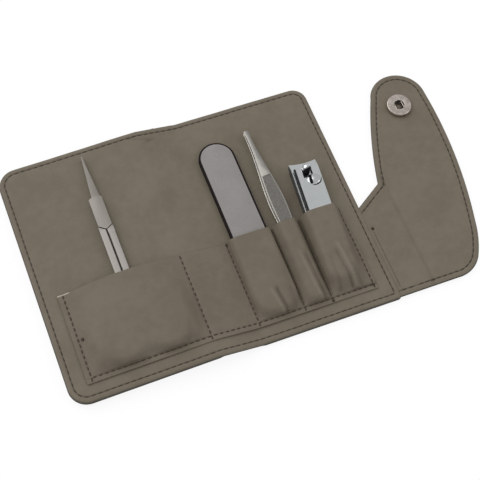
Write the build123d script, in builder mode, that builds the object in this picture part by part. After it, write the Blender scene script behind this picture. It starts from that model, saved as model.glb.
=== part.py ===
"""Manicure set case: a soft wallet laid open, with scissors, file, tweezers and clippers in its pockets.

Millimetres, +Z up.  The origin is the centre of the back half's underside, on the table.
+Y runs up the case, towards the tips of the tools, and +X runs out along the closing flap.
"""
from build123d import *
from math import asin, atan, cos, degrees, radians, sin, sqrt
import os

os.makedirs("parts", exist_ok=True)

# ---------------------------------------------------------------- driving dimensions
# Case body: two boarded halves joined by a soft spine.
case_height = 110.0
half_width = 62.1
spine_width = 18.0
cover_thickness = 0.9
board_thickness = 1.3
lining_thickness = 0.6
front_corner_radius = 8.0
back_top_corner_radius = 6.5
back_bottom_corner_radius = 1.6
turned_edge_width = 5.0
board_clearance = 0.3
board_fold_margin = 1.2
lining_inset = 0.4
fold_gap = 0.3
spine_lift = 3.5
closed_front_angle = 6.5

# Sewing thread: a raised line of lock stitches.
edge_stitch_inset = 2.3
thread_width = 0.5
thread_height = 0.2
seam_clearance = 0.1

# Pocket strip: one band of leather sewn across both halves and the spine.
strip_top = -7.9
strip_bottom = -47.9
strip_end_margin = 8.1
strip_fold_gap = 1.1
strip_bottom_stitch = 2.1
strip_front_stitch = 2.3
strip_back_stitch = 1.3
strip_fold_stitch = 1.5
pocket_wall = 0.7
file_seam_share = 0.39453
tweezers_seam_share = 0.63477
pocket_mouth_flare = 1.0
ring_room_height = 4.7
ring_room_top = -22.0
shank_room_height = 3.3
scissors_room_ramp = 5.2
file_room_height = 3.3
file_room_ramp = 0.1
tweezers_room_height = 5.4
tweezers_room_ramp = 1.5
clippers_tail_room_height = 5.85
clippers_tail_room_top = -30.0
clippers_mouth_room_height = 6.95
clippers_room_ramp = 1.0
pocket_foot_ramp = 0.8

# Closing flap: an ear on the back half that wraps round the front.
flap_cover_thickness = 0.7
flap_lining_thickness = 0.6
flap_gap = 0.3
crease_gap = 0.2
gusset_length = 15.3
flap_bottom_margin = 0.6
flap_neck_x = 12.6
flap_neck_y = -2.0
flap_root_top = -10.1
flap_root_clearance = 0.2
flap_tip_x = 39.4
flap_tip_y = 34.6
flap_tip_radius = 13.3
flap_tip_lean = 22.0
flap_left_bow_x = 18.7
flap_left_bow_y = 17.2
flap_right_bow_x = 50.5
flap_right_bow_y = 0.0
flap_heel_x = 44.3
flap_heel_y = -32.1
flap_toe_x = 40.3
flap_toe_y = -44.4
flap_foot_x = 32.0

# Press-stud: cap, socket and spring on the flap, stud and eyelet on the front half.
snap_x = 37.6
snap_y = 30.8
cap_radius = 6.0
cap_edge_radius = 0.5
barrel_radius = 1.6
barrel_bore = 1.2
barrel_flare = 0.5
barrel_flare_height = 0.2
socket_radius = 5.5
socket_height = 1.9
socket_wall = 0.6
socket_floor = 0.3
socket_roof = 0.4
socket_mouth_radius = 2.3
socket_edge_radius = 0.35
spring_wire_radius = 0.2
spring_half_gap = 1.75
spring_straight = 4.4
spring_height = 1.25
stud_flange_radius = 4.25
stud_flange = 0.4
stud_height = 2.0
stud_neck_radius = 1.35
stud_head_radius = 1.6
stud_head_height = 0.4
stud_edge_radius = 0.12
eyelet_tube_radius = 1.0
eyelet_tube_length = 1.4
eyelet_flange_radius = 3.6
eyelet_flange = 0.3
eyelet_clearance = 0.15
snap_closed_clearance = 0.5

# Every tool lies this far above the lining.
tool_clearance = 0.35

# Scissors: two crossed halves on a blind pivot screw.
scissors_x = -25.8
scissors_pivot_y = 21.0
scissors_layer = 1.25
scissors_gap = 0.08
block_width = 5.7
block_top = 28.7
block_shoulder = 0.8
blade_width = 3.5
blade_tip_y = 49.0
blade_tip_shift = 0.7
blade_root_shift = 0.4
blade_tip_width = 0.5
seam_side_y = 15.0
seam_point_y = 12.9
seam_gap = 0.3
shank_width = 2.9
shank_gap = 0.5
ring_width = 17.4
ring_height = 22.4
ring_section = 2.5
ring_bottom_y = -43.9
ring_crotch_radius = 2.0
handle_edge_radius = 0.45
pivot_radius = 1.2
pivot_head_radius = 1.9
pivot_head_height = 0.5
pivot_head_clearance = 0.05
pivot_depth = 0.75
pivot_clearance = 0.06
screw_slot_width = 0.4
screw_slot_depth = 0.2

# Nail file: a stiff core faced with abrasive on both sides.
file_side_room = 2.1
file_off_centre = 0.5
file_foot_room = 0.95
file_length = 82.4
file_core_thickness = 2.0
abrasive_thickness = 0.25
abrasive_inset = 0.9
file_edge_radius = 0.3

# Tweezers: two sprung arms welded at the tail, lying one above the other.
tweezers_off_centre = 0.6
tweezers_foot_room = 0.85
tweezers_length = 83.0
tweezers_arm = 0.9
tweezers_tip_thickness = 0.5
tweezers_bow = 1.5
tweezers_tip_gap = 1.2
tweezers_weld_length = 9.0
tweezers_tail_width = 4.6
tweezers_mouth_width = 5.7
tweezers_mouth_y = -9.0
tweezers_grip_width = 6.4
tweezers_grip_y = 3.0
tweezers_shoulder_width = 4.3
tweezers_shoulder_y = 16.0
tweezers_tip_width = 2.2
tweezers_corner_radius = 0.9

# Clippers: two sprung jaws riveted at the tail, a turning pin and a lever folded flat.
clippers_off_centre = -2.25
clippers_tail_y = -41.4
clippers_lean = 4.3
clippers_length = 57.5
clippers_side_room = 3.35
clippers_tail_share = 0.8
clippers_taper = 14.0
clippers_tail_radius = 4.0
clippers_arm = 1.1
clippers_straight = 9.0
clippers_rise = 3.0
clippers_jaw_bend = 3.6
clippers_bend_radius = 3.0
clippers_jaw_gap = 1.5
clippers_jaw_edge = 0.35
jaw_hollow = 0.9
weld_gap = 0.02
pin_from_jaw = 5.4
pin_radius = 1.5
pin_hole_clearance = 0.3
pin_head_radius = 2.9
pin_head_height = 0.6
pin_head_clearance = 0.05
pin_ball_radius = 1.95
pin_ball_rise = 1.5
lever_gap = 0.55
lever_thickness = 1.0
lever_length = 46.5
lever_side_step = 0.7
lever_tail_step = 0.4
lever_tail_radius = 3.0
lever_bar_offset = 0.9
lever_bar_clearance = 0.15
lever_slot_width = 4.4
lever_slot_length = 5.6
lever_ridge_radius = 1.1
lever_ridge_rise = 0.2
lever_ridge_offset = 6.8
lever_ridge_end_room = 1.8
lever_kick = 0.8
lever_kick_length = 7.0
tail_rivet_radius = 1.3
tail_rivet_place = 4.5
tail_rivet_clearance = 0.1

# ---------------------------------------------------------------- places worked out from them
panel_thickness = cover_thickness + board_thickness + lining_thickness
lining_base = cover_thickness + board_thickness
spine_base = board_thickness
tool_base = panel_thickness + tool_clearance
seam_top = panel_thickness + pocket_wall
pocket_seam_margin = thread_width / 2 + pocket_wall + seam_clearance
strip_foot_seam = strip_bottom + strip_bottom_stitch
strip_end = half_width - strip_end_margin
front_end_seam = strip_front_stitch - strip_end
back_end_seam = strip_end - strip_back_stitch
pocket_foot = strip_foot_seam + pocket_seam_margin

# The back half's three pockets share its sewn width, and each tool's width follows its pocket.
sewn_width = back_end_seam - strip_fold_stitch
file_seam = strip_fold_stitch + file_seam_share * sewn_width
tweezers_seam = strip_fold_stitch + tweezers_seam_share * sewn_width
file_width = file_seam - strip_fold_stitch - 2 * file_side_room
file_x = (strip_fold_stitch + file_seam) / 2 + file_off_centre
file_top_y = pocket_foot + file_foot_room + file_length
tweezers_x = (file_seam + tweezers_seam) / 2 + tweezers_off_centre
tweezers_tip_y = pocket_foot + tweezers_foot_room + tweezers_length
clippers_tail_x = (tweezers_seam + back_end_seam) / 2 + clippers_off_centre
clippers_width = back_end_seam - tweezers_seam - 2 * clippers_side_room
clippers_tail_width = clippers_tail_share * clippers_width
lever_width = clippers_width - 2 * lever_side_step
lever_tail_width = clippers_tail_width - 2 * lever_tail_step
lever_ridge_width = lever_width - 2 * lever_ridge_end_room

spine_tilt = degrees(asin(spine_lift / spine_width))
back_fold_x = -half_width / 2
front_fold_x = back_fold_x - sqrt(spine_width**2 - spine_lift**2)

flap_edge_x = half_width / 2
flap_bottom_y = flap_bottom_margin - case_height / 2
flap_thickness = flap_cover_thickness + flap_lining_thickness
crease_x = flap_gap + gusset_length
snap_closed_gap = socket_height + stud_flange + snap_closed_clearance


def snap_place_when_closed():
    """Rise of the closed flap towards the fold, and how far from the fold its socket meets the front."""
    lean = radians(closed_front_angle)
    crease_from_fold = half_width + flap_gap
    crease_above_fold = cover_thickness + flap_thickness + gusset_length - panel_thickness - spine_width
    reach = snap_x - crease_x
    crease_height = crease_from_fold * sin(lean) + crease_above_fold * cos(lean) - panel_thickness
    crease_along = crease_from_fold * cos(lean) - crease_above_fold * sin(lean)
    rise = asin((snap_closed_gap - crease_height) / reach)
    return degrees(rise) + closed_front_angle, crease_along - reach * cos(rise)


flap_closed_rise, stud_from_fold = snap_place_when_closed()

# The front half stands on its stud, with its fold held up by the spine.
front_tilt = degrees(atan((spine_lift - stud_height) / stud_from_fold))


def tilted_plane(x, z, angle):
    """A plane whose local x axis rises by angle, with its origin at x, 0, z."""
    turn = radians(angle)
    return Plane(origin=(x, 0, z), x_dir=(cos(turn), 0, sin(turn)), z_dir=(-sin(turn), 0, cos(turn)))


back = tilted_plane(back_fold_x, 0, 0)
spine = tilted_plane(back_fold_x, panel_thickness, -spine_tilt).offset(-panel_thickness)
front = tilted_plane(front_fold_x, spine_lift, front_tilt)
flap = Plane(origin=(flap_edge_x, 0, cover_thickness))


def section_across(plane, y):
    """The plane that cuts a half at height y up the case, drawn as (x, height)."""
    return Plane(origin=plane.origin, x_dir=plane.x_dir, z_dir=-plane.y_dir).offset(-y)


def section_along(plane, x):
    """The plane that cuts a half at distance x from its fold, drawn as (y, height)."""
    return Plane(origin=plane.origin, x_dir=plane.y_dir, z_dir=plane.x_dir).offset(x)


def finish(piece, label):
    """Name a finished piece and write it to its own file."""
    piece.label = label
    export_step(piece, f"parts/{label}.step")


# ---------------------------------------------------------------- case body
def half_outline(sheet, side, inset, fold_inset=fold_gap):
    """Draw one half, square at the fold and rounded at its free side.  side is -1 front, 1 back."""
    length = half_width - inset - fold_inset
    with Locations((side * (fold_inset + length / 2), 0)):
        Rectangle(length, case_height - 2 * inset)
    if side < 0:
        radii = (front_corner_radius, front_corner_radius)
    else:
        radii = (back_bottom_corner_radius, back_top_corner_radius)
    for row, radius in zip((0, -1), radii):
        corner = sheet.vertices().group_by(Axis.Y)[row].sort_by(Axis.X)[0 if side < 0 else -1]
        if radius > inset:
            fillet(corner, radius - inset)


def outer_cover(plane, side):
    """Outer leather, with its edge turned up round the board."""
    with BuildPart() as cover:
        with BuildSketch(plane) as sheet:
            half_outline(sheet, side, 0)
        extrude(amount=lining_base)
        with BuildSketch(plane.offset(cover_thickness)) as bed:
            half_outline(bed, side, turned_edge_width, -fold_gap)
        extrude(amount=board_thickness, mode=Mode.SUBTRACT)
        if side < 0:
            with BuildSketch(plane):
                with Locations((-stud_from_fold, snap_y)):
                    Circle(eyelet_tube_radius + eyelet_clearance)
            extrude(amount=cover_thickness, mode=Mode.SUBTRACT)
        else:
            slot_top = flap_root_top + flap_root_clearance
            slot_length = slot_top + case_height / 2
            with BuildSketch(plane.offset(cover_thickness)):
                with Locations((half_width - turned_edge_width / 2, slot_top - slot_length / 2)):
                    Rectangle(turned_edge_width, slot_length)
            extrude(amount=board_thickness, mode=Mode.SUBTRACT)
    return cover.part


def stiffening_board(plane, side):
    """Board between cover and lining; the front one is relieved for the stud's eyelet."""
    with BuildPart() as board:
        with BuildSketch(plane.offset(cover_thickness)) as sheet:
            half_outline(sheet, side, turned_edge_width + board_clearance, board_fold_margin)
        extrude(amount=board_thickness)
        if side < 0:
            with BuildSketch(plane.offset(cover_thickness)):
                with Locations((-stud_from_fold, snap_y)):
                    Circle(eyelet_flange_radius + eyelet_clearance)
            extrude(amount=eyelet_flange + eyelet_clearance, mode=Mode.SUBTRACT)
    return board.part


def half_lining(plane, side):
    """Lining leather over the board and the turned edge."""
    with BuildPart() as lining:
        with BuildSketch(plane.offset(lining_base)) as sheet:
            half_outline(sheet, side, lining_inset)
        extrude(amount=lining_thickness)
    return lining.part


def edge_thread(plane, side):
    """Line of stitching round the three outer sides of one half."""
    with BuildPart() as thread:
        with BuildSketch(plane.offset(panel_thickness)) as outside:
            half_outline(outside, side, edge_stitch_inset)
        extrude(amount=thread_height)
        with BuildSketch(plane.offset(panel_thickness)) as inside:
            half_outline(inside, side, edge_stitch_inset + thread_width, -fold_gap)
        extrude(amount=thread_height, mode=Mode.SUBTRACT)
    return thread.part


for half_name, half_plane, half_side in (("front", front, -1), ("back", back, 1)):
    finish(outer_cover(half_plane, half_side), f"{half_name}_outer_cover")
    finish(stiffening_board(half_plane, half_side), f"{half_name}_board")
    finish(half_lining(half_plane, half_side), f"{half_name}_lining")
    finish(edge_thread(half_plane, half_side), f"{half_name}_edge_thread")


def spine_sheet(base, thickness, end_gap, low_y, high_y):
    """A flat layer of the spine between its two folds."""
    with BuildPart() as sheet:
        with BuildSketch(spine.offset(base)):
            with Locations((-spine_width / 2, (low_y + high_y) / 2)):
                Rectangle(spine_width - 2 * end_gap, high_y - low_y)
        extrude(amount=thickness)
    return sheet.part


spine_top_y = case_height / 2
lining_top_y = spine_top_y - lining_inset
finish(spine_sheet(spine_base, cover_thickness, fold_gap, -spine_top_y, spine_top_y), "spine_outer_cover")
finish(spine_sheet(lining_base, lining_thickness, fold_gap, -lining_top_y, lining_top_y), "spine_lining")
finish(spine_sheet(panel_thickness, pocket_wall, strip_fold_gap, strip_bottom, strip_top), "spine_pocket_leather")

with BuildPart() as spine_thread:
    seam_y = case_height / 2 - edge_stitch_inset - thread_width / 2
    with BuildSketch(spine.offset(panel_thickness)):
        with Locations((-spine_width / 2, seam_y), (-spine_width / 2, -seam_y)):
            Rectangle(spine_width - 2 * fold_gap, thread_width)
    extrude(amount=thread_height)
    with BuildSketch(spine.offset(seam_top)):
        with Locations((-spine_width / 2, strip_foot_seam)):
            Rectangle(spine_width - 2 * strip_fold_gap, thread_width)
    extrude(amount=thread_height)
finish(spine_thread.part, "spine_thread")


# ---------------------------------------------------------------- pockets
def pocket_room(plane, left, right, ramp, profile, wall):
    """Space under a pocket's leather, or with its wall added, the leather's outer shape.

    profile lists (y, height above the lining) from the pocket's foot to its mouth.
    """
    left = left - wall
    right = right + wall
    highest = max(height for _, height in profile) + wall
    foot = profile[0][0] - wall
    mouth = strip_top if wall else strip_top + pocket_mouth_flare
    with BuildPart() as room:
        with BuildSketch(section_across(plane, mouth)):
            with BuildLine():
                Polyline(
                    (left, panel_thickness),
                    (left + ramp, panel_thickness + highest),
                    (right - ramp, panel_thickness + highest),
                    (right, panel_thickness),
                    close=True,
                )
            make_face()
        extrude(amount=mouth - foot)
        with BuildSketch(section_along(plane, left)):
            with BuildLine():
                slopes = [(y, panel_thickness + height + wall) for y, height in profile[1:-1]]
                mouth_height = panel_thickness + profile[-1][1] + wall
                Polyline(
                    (foot, panel_thickness),
                    *slopes,
                    (mouth, mouth_height),
                    (mouth, panel_thickness),
                    close=True,
                )
            make_face()
        extrude(amount=right - left, mode=Mode.INTERSECT)
    return room.part


def pocket_leather(plane, side, pockets):
    """The strip's leather on one half: sewn flat at the seams and standing up over each tool."""
    bulges = [pocket_room(plane, *pocket, pocket_wall) for pocket in pockets]
    rooms = [pocket_room(plane, *pocket, 0) for pocket in pockets]
    with BuildPart() as leather:
        with BuildSketch(plane.offset(panel_thickness)):
            with Locations((side * (strip_fold_gap + strip_end) / 2, (strip_bottom + strip_top) / 2)):
                Rectangle(strip_end - strip_fold_gap, strip_top - strip_bottom)
        extrude(amount=pocket_wall)
        add(bulges)
        add(rooms, mode=Mode.SUBTRACT)
    return leather.part


def pocket_thread(plane, seams, end, side):
    """Stitching of the strip on one half: a line along the foot and one up each seam."""
    with BuildPart() as thread:
        with BuildSketch(plane.offset(seam_top)):
            for seam in seams:
                with Locations((seam, (strip_bottom + strip_top) / 2)):
                    Rectangle(thread_width, strip_top - strip_bottom)
            with Locations((side * (strip_fold_gap + end) / 2, strip_foot_seam)):
                Rectangle(end - strip_fold_gap, thread_width)
        extrude(amount=thread_height)
    return thread.part


def room_between(left_seam, right_seam, ramp, heights):
    """One pocket's room: its sides, the slope of its sides and its profile from foot to mouth."""
    rise = (pocket_foot + pocket_foot_ramp, heights[0][1])
    profile = [(pocket_foot, 0), rise, *heights]
    return left_seam + pocket_seam_margin, right_seam - pocket_seam_margin, ramp, profile


scissors_room = room_between(
    front_end_seam,
    -strip_fold_stitch,
    scissors_room_ramp,
    [(ring_room_top, ring_room_height), (strip_top, shank_room_height)],
)
file_room = room_between(strip_fold_stitch, file_seam, file_room_ramp, [(strip_top, file_room_height)])
tweezers_room = room_between(
    file_seam, tweezers_seam, tweezers_room_ramp, [(strip_top, tweezers_room_height)]
)
clippers_room = room_between(
    tweezers_seam,
    back_end_seam,
    clippers_room_ramp,
    [(clippers_tail_room_top, clippers_tail_room_height), (strip_top, clippers_mouth_room_height)],
)
finish(pocket_leather(front, -1, [scissors_room]), "front_pocket_leather")
finish(pocket_leather(back, 1, [file_room, tweezers_room, clippers_room]), "back_pocket_leather")
finish(
    pocket_thread(front, (front_end_seam, -strip_fold_stitch), -front_end_seam, -1),
    "front_pocket_thread",
)
finish(
    pocket_thread(back, (strip_fold_stitch, file_seam, tweezers_seam, back_end_seam), back_end_seam, 1),
    "back_pocket_thread",
)


# ---------------------------------------------------------------- closing flap
def flap_outline(inset, from_x, to_x):
    """Draw the flap between two distances from the back half's edge."""
    neck_slope = (flap_neck_y - flap_root_top) / flap_neck_x
    root_y = flap_root_top - neck_slope * turned_edge_width
    lean = radians(flap_tip_lean)
    tip_left = (flap_tip_x - flap_tip_radius * cos(lean), flap_tip_y + flap_tip_radius * sin(lean))
    tip_top = (flap_tip_x, flap_tip_y + flap_tip_radius)
    tip_right = (flap_tip_x + flap_tip_radius, flap_tip_y)
    foot = (flap_foot_x, flap_bottom_y)
    heel = (flap_heel_x, flap_heel_y)
    neck = (flap_neck_x, flap_neck_y)
    with BuildLine() as outline:
        Line((-turned_edge_width, flap_bottom_y), foot)
        ThreePointArc(foot, (flap_toe_x, flap_toe_y), heel)
        ThreePointArc(heel, (flap_right_bow_x, flap_right_bow_y), tip_right)
        ThreePointArc(tip_right, tip_top, tip_left)
        ThreePointArc(tip_left, (flap_left_bow_x, flap_left_bow_y), neck)
        Line(neck, (-turned_edge_width, root_y))
        Line((-turned_edge_width, root_y), (-turned_edge_width, flap_bottom_y))
    make_face(outline.edges())
    if inset:
        offset(amount=-inset)
    with Locations(((from_x + to_x) / 2, 0)):
        Rectangle(to_x - from_x, 2 * case_height, mode=Mode.INTERSECT)


def flap_layer(base, thickness, from_x, to_x, holes=()):
    """One layer of the flap's leather, with holes for the press-stud's barrel."""
    with BuildPart() as layer:
        with BuildSketch(flap.offset(base)):
            flap_outline(0, from_x, to_x)
            for hole_radius in holes:
                with Locations((snap_x, snap_y)):
                    Circle(hole_radius, mode=Mode.SUBTRACT)
        extrude(amount=thickness)
    return layer.part


def flap_seam(from_x, to_x):
    """The flap's line of stitching between two distances from the back half's edge."""
    with BuildPart() as thread:
        with BuildSketch(flap.offset(flap_thickness)):
            flap_outline(edge_stitch_inset, from_x, to_x)
        extrude(amount=thread_height)
        with BuildSketch(flap.offset(flap_thickness)):
            flap_outline(edge_stitch_inset + thread_width, from_x, to_x)
        extrude(amount=thread_height, mode=Mode.SUBTRACT)
    return thread.part


flap_end_x = flap_tip_x + flap_tip_radius + crease_x
gusset_span = (flap_gap, crease_x - crease_gap)
tongue_span = (crease_x + crease_gap, flap_end_x)
root_span = (flap_root_clearance - turned_edge_width, 0)
barrel_hole = (barrel_radius + eyelet_clearance,)

finish(flap_layer(0, flap_thickness, *root_span), "flap_root")
finish(flap_layer(0, flap_cover_thickness, *gusset_span), "flap_gusset_cover")
finish(flap_layer(flap_cover_thickness, flap_lining_thickness, *gusset_span), "flap_gusset_lining")
finish(flap_seam(*gusset_span), "flap_gusset_thread")
finish(flap_layer(0, flap_cover_thickness, *tongue_span, barrel_hole), "flap_cover")
finish(flap_layer(flap_cover_thickness, flap_lining_thickness, *tongue_span, barrel_hole), "flap_lining")
finish(flap_seam(*tongue_span), "flap_thread")


# ---------------------------------------------------------------- press-stud
snap = Plane(origin=(flap_edge_x + snap_x, snap_y, cover_thickness))
socket_base = flap_thickness
flare_base = socket_base + socket_floor

with BuildPart() as snap_cap:
    with BuildSketch(snap):
        Circle(cap_radius)
    extrude(amount=-cover_thickness)
    fillet(snap_cap.faces().sort_by(Axis.Z)[0].edges(), cap_edge_radius)
    with BuildSketch(snap):
        Circle(barrel_radius)
    extrude(amount=flare_base)
    with BuildSketch(snap.offset(flare_base)):
        Circle(barrel_radius + barrel_flare)
    extrude(amount=barrel_flare_height)
    with BuildSketch(snap):
        Circle(barrel_bore)
    extrude(amount=flare_base + barrel_flare_height, mode=Mode.SUBTRACT)
finish(snap_cap.part, "snap_cap")

with BuildPart() as snap_socket:
    with BuildSketch(snap.offset(socket_base)):
        Circle(socket_radius)
    extrude(amount=socket_height)
    fillet(snap_socket.faces().sort_by(Axis.Z)[-1].edges(), socket_edge_radius)
    with BuildSketch(snap.offset(flare_base)):
        Circle(socket_radius - socket_wall)
    extrude(amount=socket_height - socket_floor - socket_roof, mode=Mode.SUBTRACT)
    with BuildSketch(snap.offset(flare_base)):
        Circle(socket_mouth_radius)
    extrude(amount=socket_height, mode=Mode.SUBTRACT)
    with BuildSketch(snap.offset(socket_base)):
        Circle(barrel_radius)
    extrude(amount=socket_floor, mode=Mode.SUBTRACT)
    mouth_rim = snap_socket.edges().filter_by(GeomType.CIRCLE).group_by(Axis.Z)[-1].sort_by(SortBy.RADIUS)[0]
    fillet(mouth_rim, socket_roof / 2)
finish(snap_socket.part, "snap_socket")

with BuildPart() as snap_spring:
    spring_plane = snap.offset(socket_base + spring_height)
    with BuildLine(spring_plane) as spring_path:
        half_run = spring_straight / 2
        Line((spring_half_gap, -half_run), (spring_half_gap, half_run))
        ThreePointArc((spring_half_gap, half_run), (0, half_run + spring_half_gap), (-spring_half_gap, half_run))
        Line((-spring_half_gap, half_run), (-spring_half_gap, -half_run))
        ThreePointArc(
            (-spring_half_gap, -half_run), (0, -half_run - spring_half_gap), (spring_half_gap, -half_run)
        )
    with BuildSketch(Plane(origin=spring_path.wires()[0] @ 0, z_dir=spring_path.wires()[0] % 0)):
        Circle(spring_wire_radius)
    sweep(path=spring_path.wires()[0])
finish(snap_spring.part, "snap_spring")

# The stud stands out of the front half's underside.
stud = Plane(
    origin=front.from_local_coords((-stud_from_fold, snap_y, 0)),
    x_dir=front.x_dir,
    z_dir=-front.z_dir,
)

with BuildPart() as snap_stud:
    with BuildSketch(stud):
        Circle(stud_flange_radius)
    extrude(amount=stud_flange)
    fillet(snap_stud.faces().sort_by(Axis.Z)[0].edges(), stud_edge_radius)
    with BuildSketch(stud.offset(stud_flange)):
        Circle(stud_neck_radius)
    extrude(amount=stud_height - stud_flange)
    with BuildSketch(stud.offset(stud_height - stud_head_height)):
        Circle(stud_head_radius)
    extrude(amount=stud_head_height)
    fillet(snap_stud.faces().sort_by(Axis.Z)[0].edges(), stud_edge_radius)
    with BuildSketch(stud):
        Circle(eyelet_tube_radius)
    extrude(amount=eyelet_tube_length, mode=Mode.SUBTRACT)
finish(snap_stud.part, "snap_stud")

with BuildPart() as snap_eyelet:
    with BuildSketch(stud.offset(-cover_thickness)):
        Circle(eyelet_flange_radius)
    extrude(amount=-eyelet_flange)
    with BuildSketch(stud.offset(-cover_thickness)):
        Circle(eyelet_tube_radius)
    extrude(amount=cover_thickness + eyelet_tube_length)
finish(snap_eyelet.part, "snap_eyelet")


# ---------------------------------------------------------------- scissors
scissors_thickness = 2 * scissors_layer + scissors_gap
scissors = front.offset(tool_base)
ring_x = shank_gap / 2 + ring_width / 2
ring_y = ring_bottom_y + ring_height / 2
shank_outer = shank_gap / 2 + shank_width
front_up = Axis(front.origin, front.z_dir)


def blade_outline(side):
    """Blade, block and the start of the handle, seen from above.  side is 1 for the right handle."""
    half_block = block_width / 2
    half_blade = blade_width / 2
    half_tip = blade_tip_width / 2
    seam_drop = seam_side_y - seam_point_y
    with BuildLine() as blade:
        Polyline(
            (scissors_x, seam_point_y),
            (scissors_x + half_block, seam_side_y),
            (scissors_x + half_block, block_top - block_shoulder),
            (scissors_x + blade_root_shift + half_blade, block_top),
            (scissors_x + blade_tip_shift + half_tip, blade_tip_y),
            (scissors_x + blade_tip_shift - half_tip, blade_tip_y),
            (scissors_x + blade_root_shift - half_blade, block_top),
            (scissors_x - half_block, block_top - block_shoulder),
            (scissors_x - half_block, seam_side_y),
            close=True,
        )
    make_face(blade.edges())
    with BuildLine() as shank:
        Polyline(
            (scissors_x + side * shank_gap / 2, seam_point_y - seam_drop),
            (scissors_x + side * shank_gap / 2, seam_side_y),
            (scissors_x + side * half_block, seam_side_y),
            (scissors_x + side * shank_outer, seam_point_y - seam_drop),
            close=True,
        )
    make_face(shank.edges())


def handle_outline(sheet, side):
    """Draw the shank and finger ring, seen from above, ending below the seam."""
    seam_slope = (seam_side_y - seam_point_y) / (block_width / 2)
    shank_top = seam_point_y - seam_gap
    shank_edge = scissors_x + side * shank_outer
    with Locations((scissors_x + side * ring_x, ring_y)):
        Ellipse(ring_width / 2, ring_height / 2)
    with BuildLine() as shank:
        Polyline(
            (scissors_x + side * shank_gap / 2, ring_y),
            (scissors_x + side * shank_gap / 2, shank_top + seam_slope * shank_gap / 2),
            (shank_edge, shank_top + seam_slope * shank_outer),
            (shank_edge, ring_y),
            close=True,
        )
    make_face(shank.edges())
    on_edge = [corner for corner in sheet.vertices() if abs(corner.X - shank_edge) < seam_clearance]
    crotch = ShapeList(on_edge).filter_by_position(Axis.Y, ring_y, seam_point_y - seam_gap).sort_by(Axis.Y)[-1]
    fillet(crotch, ring_crotch_radius)
    with Locations((scissors_x + side * ring_x, ring_y)):
        Ellipse(ring_width / 2 - ring_section, ring_height / 2 - ring_section, mode=Mode.SUBTRACT)


def scissors_half(side, base):
    """One half: its blade and block in one layer, its shank and ring the full thickness."""
    with BuildPart() as half:
        with BuildSketch(scissors) as handle:
            handle_outline(handle, side)
        extrude(amount=scissors_thickness)
        fillet(half.faces().filter_by(front_up).edges(), handle_edge_radius)
        with BuildSketch(scissors.offset(base)):
            blade_outline(side)
        extrude(amount=scissors_layer)
        if side > 0:
            with BuildSketch(scissors.offset(base)):
                with Locations((scissors_x, scissors_pivot_y)):
                    Circle(pivot_radius)
            extrude(amount=pivot_depth, mode=Mode.SUBTRACT)
        else:
            with BuildSketch(scissors):
                with Locations((scissors_x, scissors_pivot_y)):
                    Circle(pivot_radius + pivot_clearance)
            extrude(amount=scissors_layer, mode=Mode.SUBTRACT)
            with BuildSketch(scissors):
                with Locations((scissors_x, scissors_pivot_y)):
                    Circle(pivot_head_radius + pivot_clearance)
            extrude(amount=pivot_head_height + pivot_head_clearance, mode=Mode.SUBTRACT)
    return half.part


finish(scissors_half(1, scissors_layer + scissors_gap), "scissors_right_half")
finish(scissors_half(-1, 0), "scissors_left_half")

with BuildPart() as scissors_screw:
    with BuildSketch(scissors):
        with Locations((scissors_x, scissors_pivot_y)):
            Circle(pivot_head_radius)
    extrude(amount=pivot_head_height)
    with BuildSketch(scissors):
        with Locations((scissors_x, scissors_pivot_y)):
            Circle(pivot_radius)
    extrude(amount=scissors_layer + scissors_gap + pivot_depth)
    with BuildSketch(scissors):
        with Locations((scissors_x, scissors_pivot_y)):
            Rectangle(2 * pivot_head_radius, screw_slot_width)
    extrude(amount=screw_slot_depth, mode=Mode.SUBTRACT)
finish(scissors_screw.part, "scissors_pivot_screw")


# ---------------------------------------------------------------- nail file
def file_slab(base, thickness, inset, edge_radius):
    """A round-ended layer of the file."""
    with BuildPart() as slab:
        with BuildSketch(back.offset(base)):
            with Locations((file_x, file_top_y - file_length / 2)):
                SlotOverall(file_length - 2 * inset, file_width - 2 * inset, rotation=90)
        extrude(amount=thickness)
        if edge_radius:
            fillet(slab.faces().filter_by(Axis.Z).edges(), edge_radius)
    return slab.part


core_base = tool_base + abrasive_thickness
core_top = core_base + file_core_thickness
finish(file_slab(core_base, file_core_thickness, 0, file_edge_radius), "file_core")
finish(file_slab(core_top, abrasive_thickness, abrasive_inset, 0), "file_fine_abrasive")
finish(file_slab(tool_base, abrasive_thickness, abrasive_inset, 0), "file_coarse_abrasive")


# ---------------------------------------------------------------- tweezers
tweezers_tail_y = tweezers_tip_y - tweezers_length
tweezers_middle = tool_base + tweezers_bow + tweezers_arm


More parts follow.
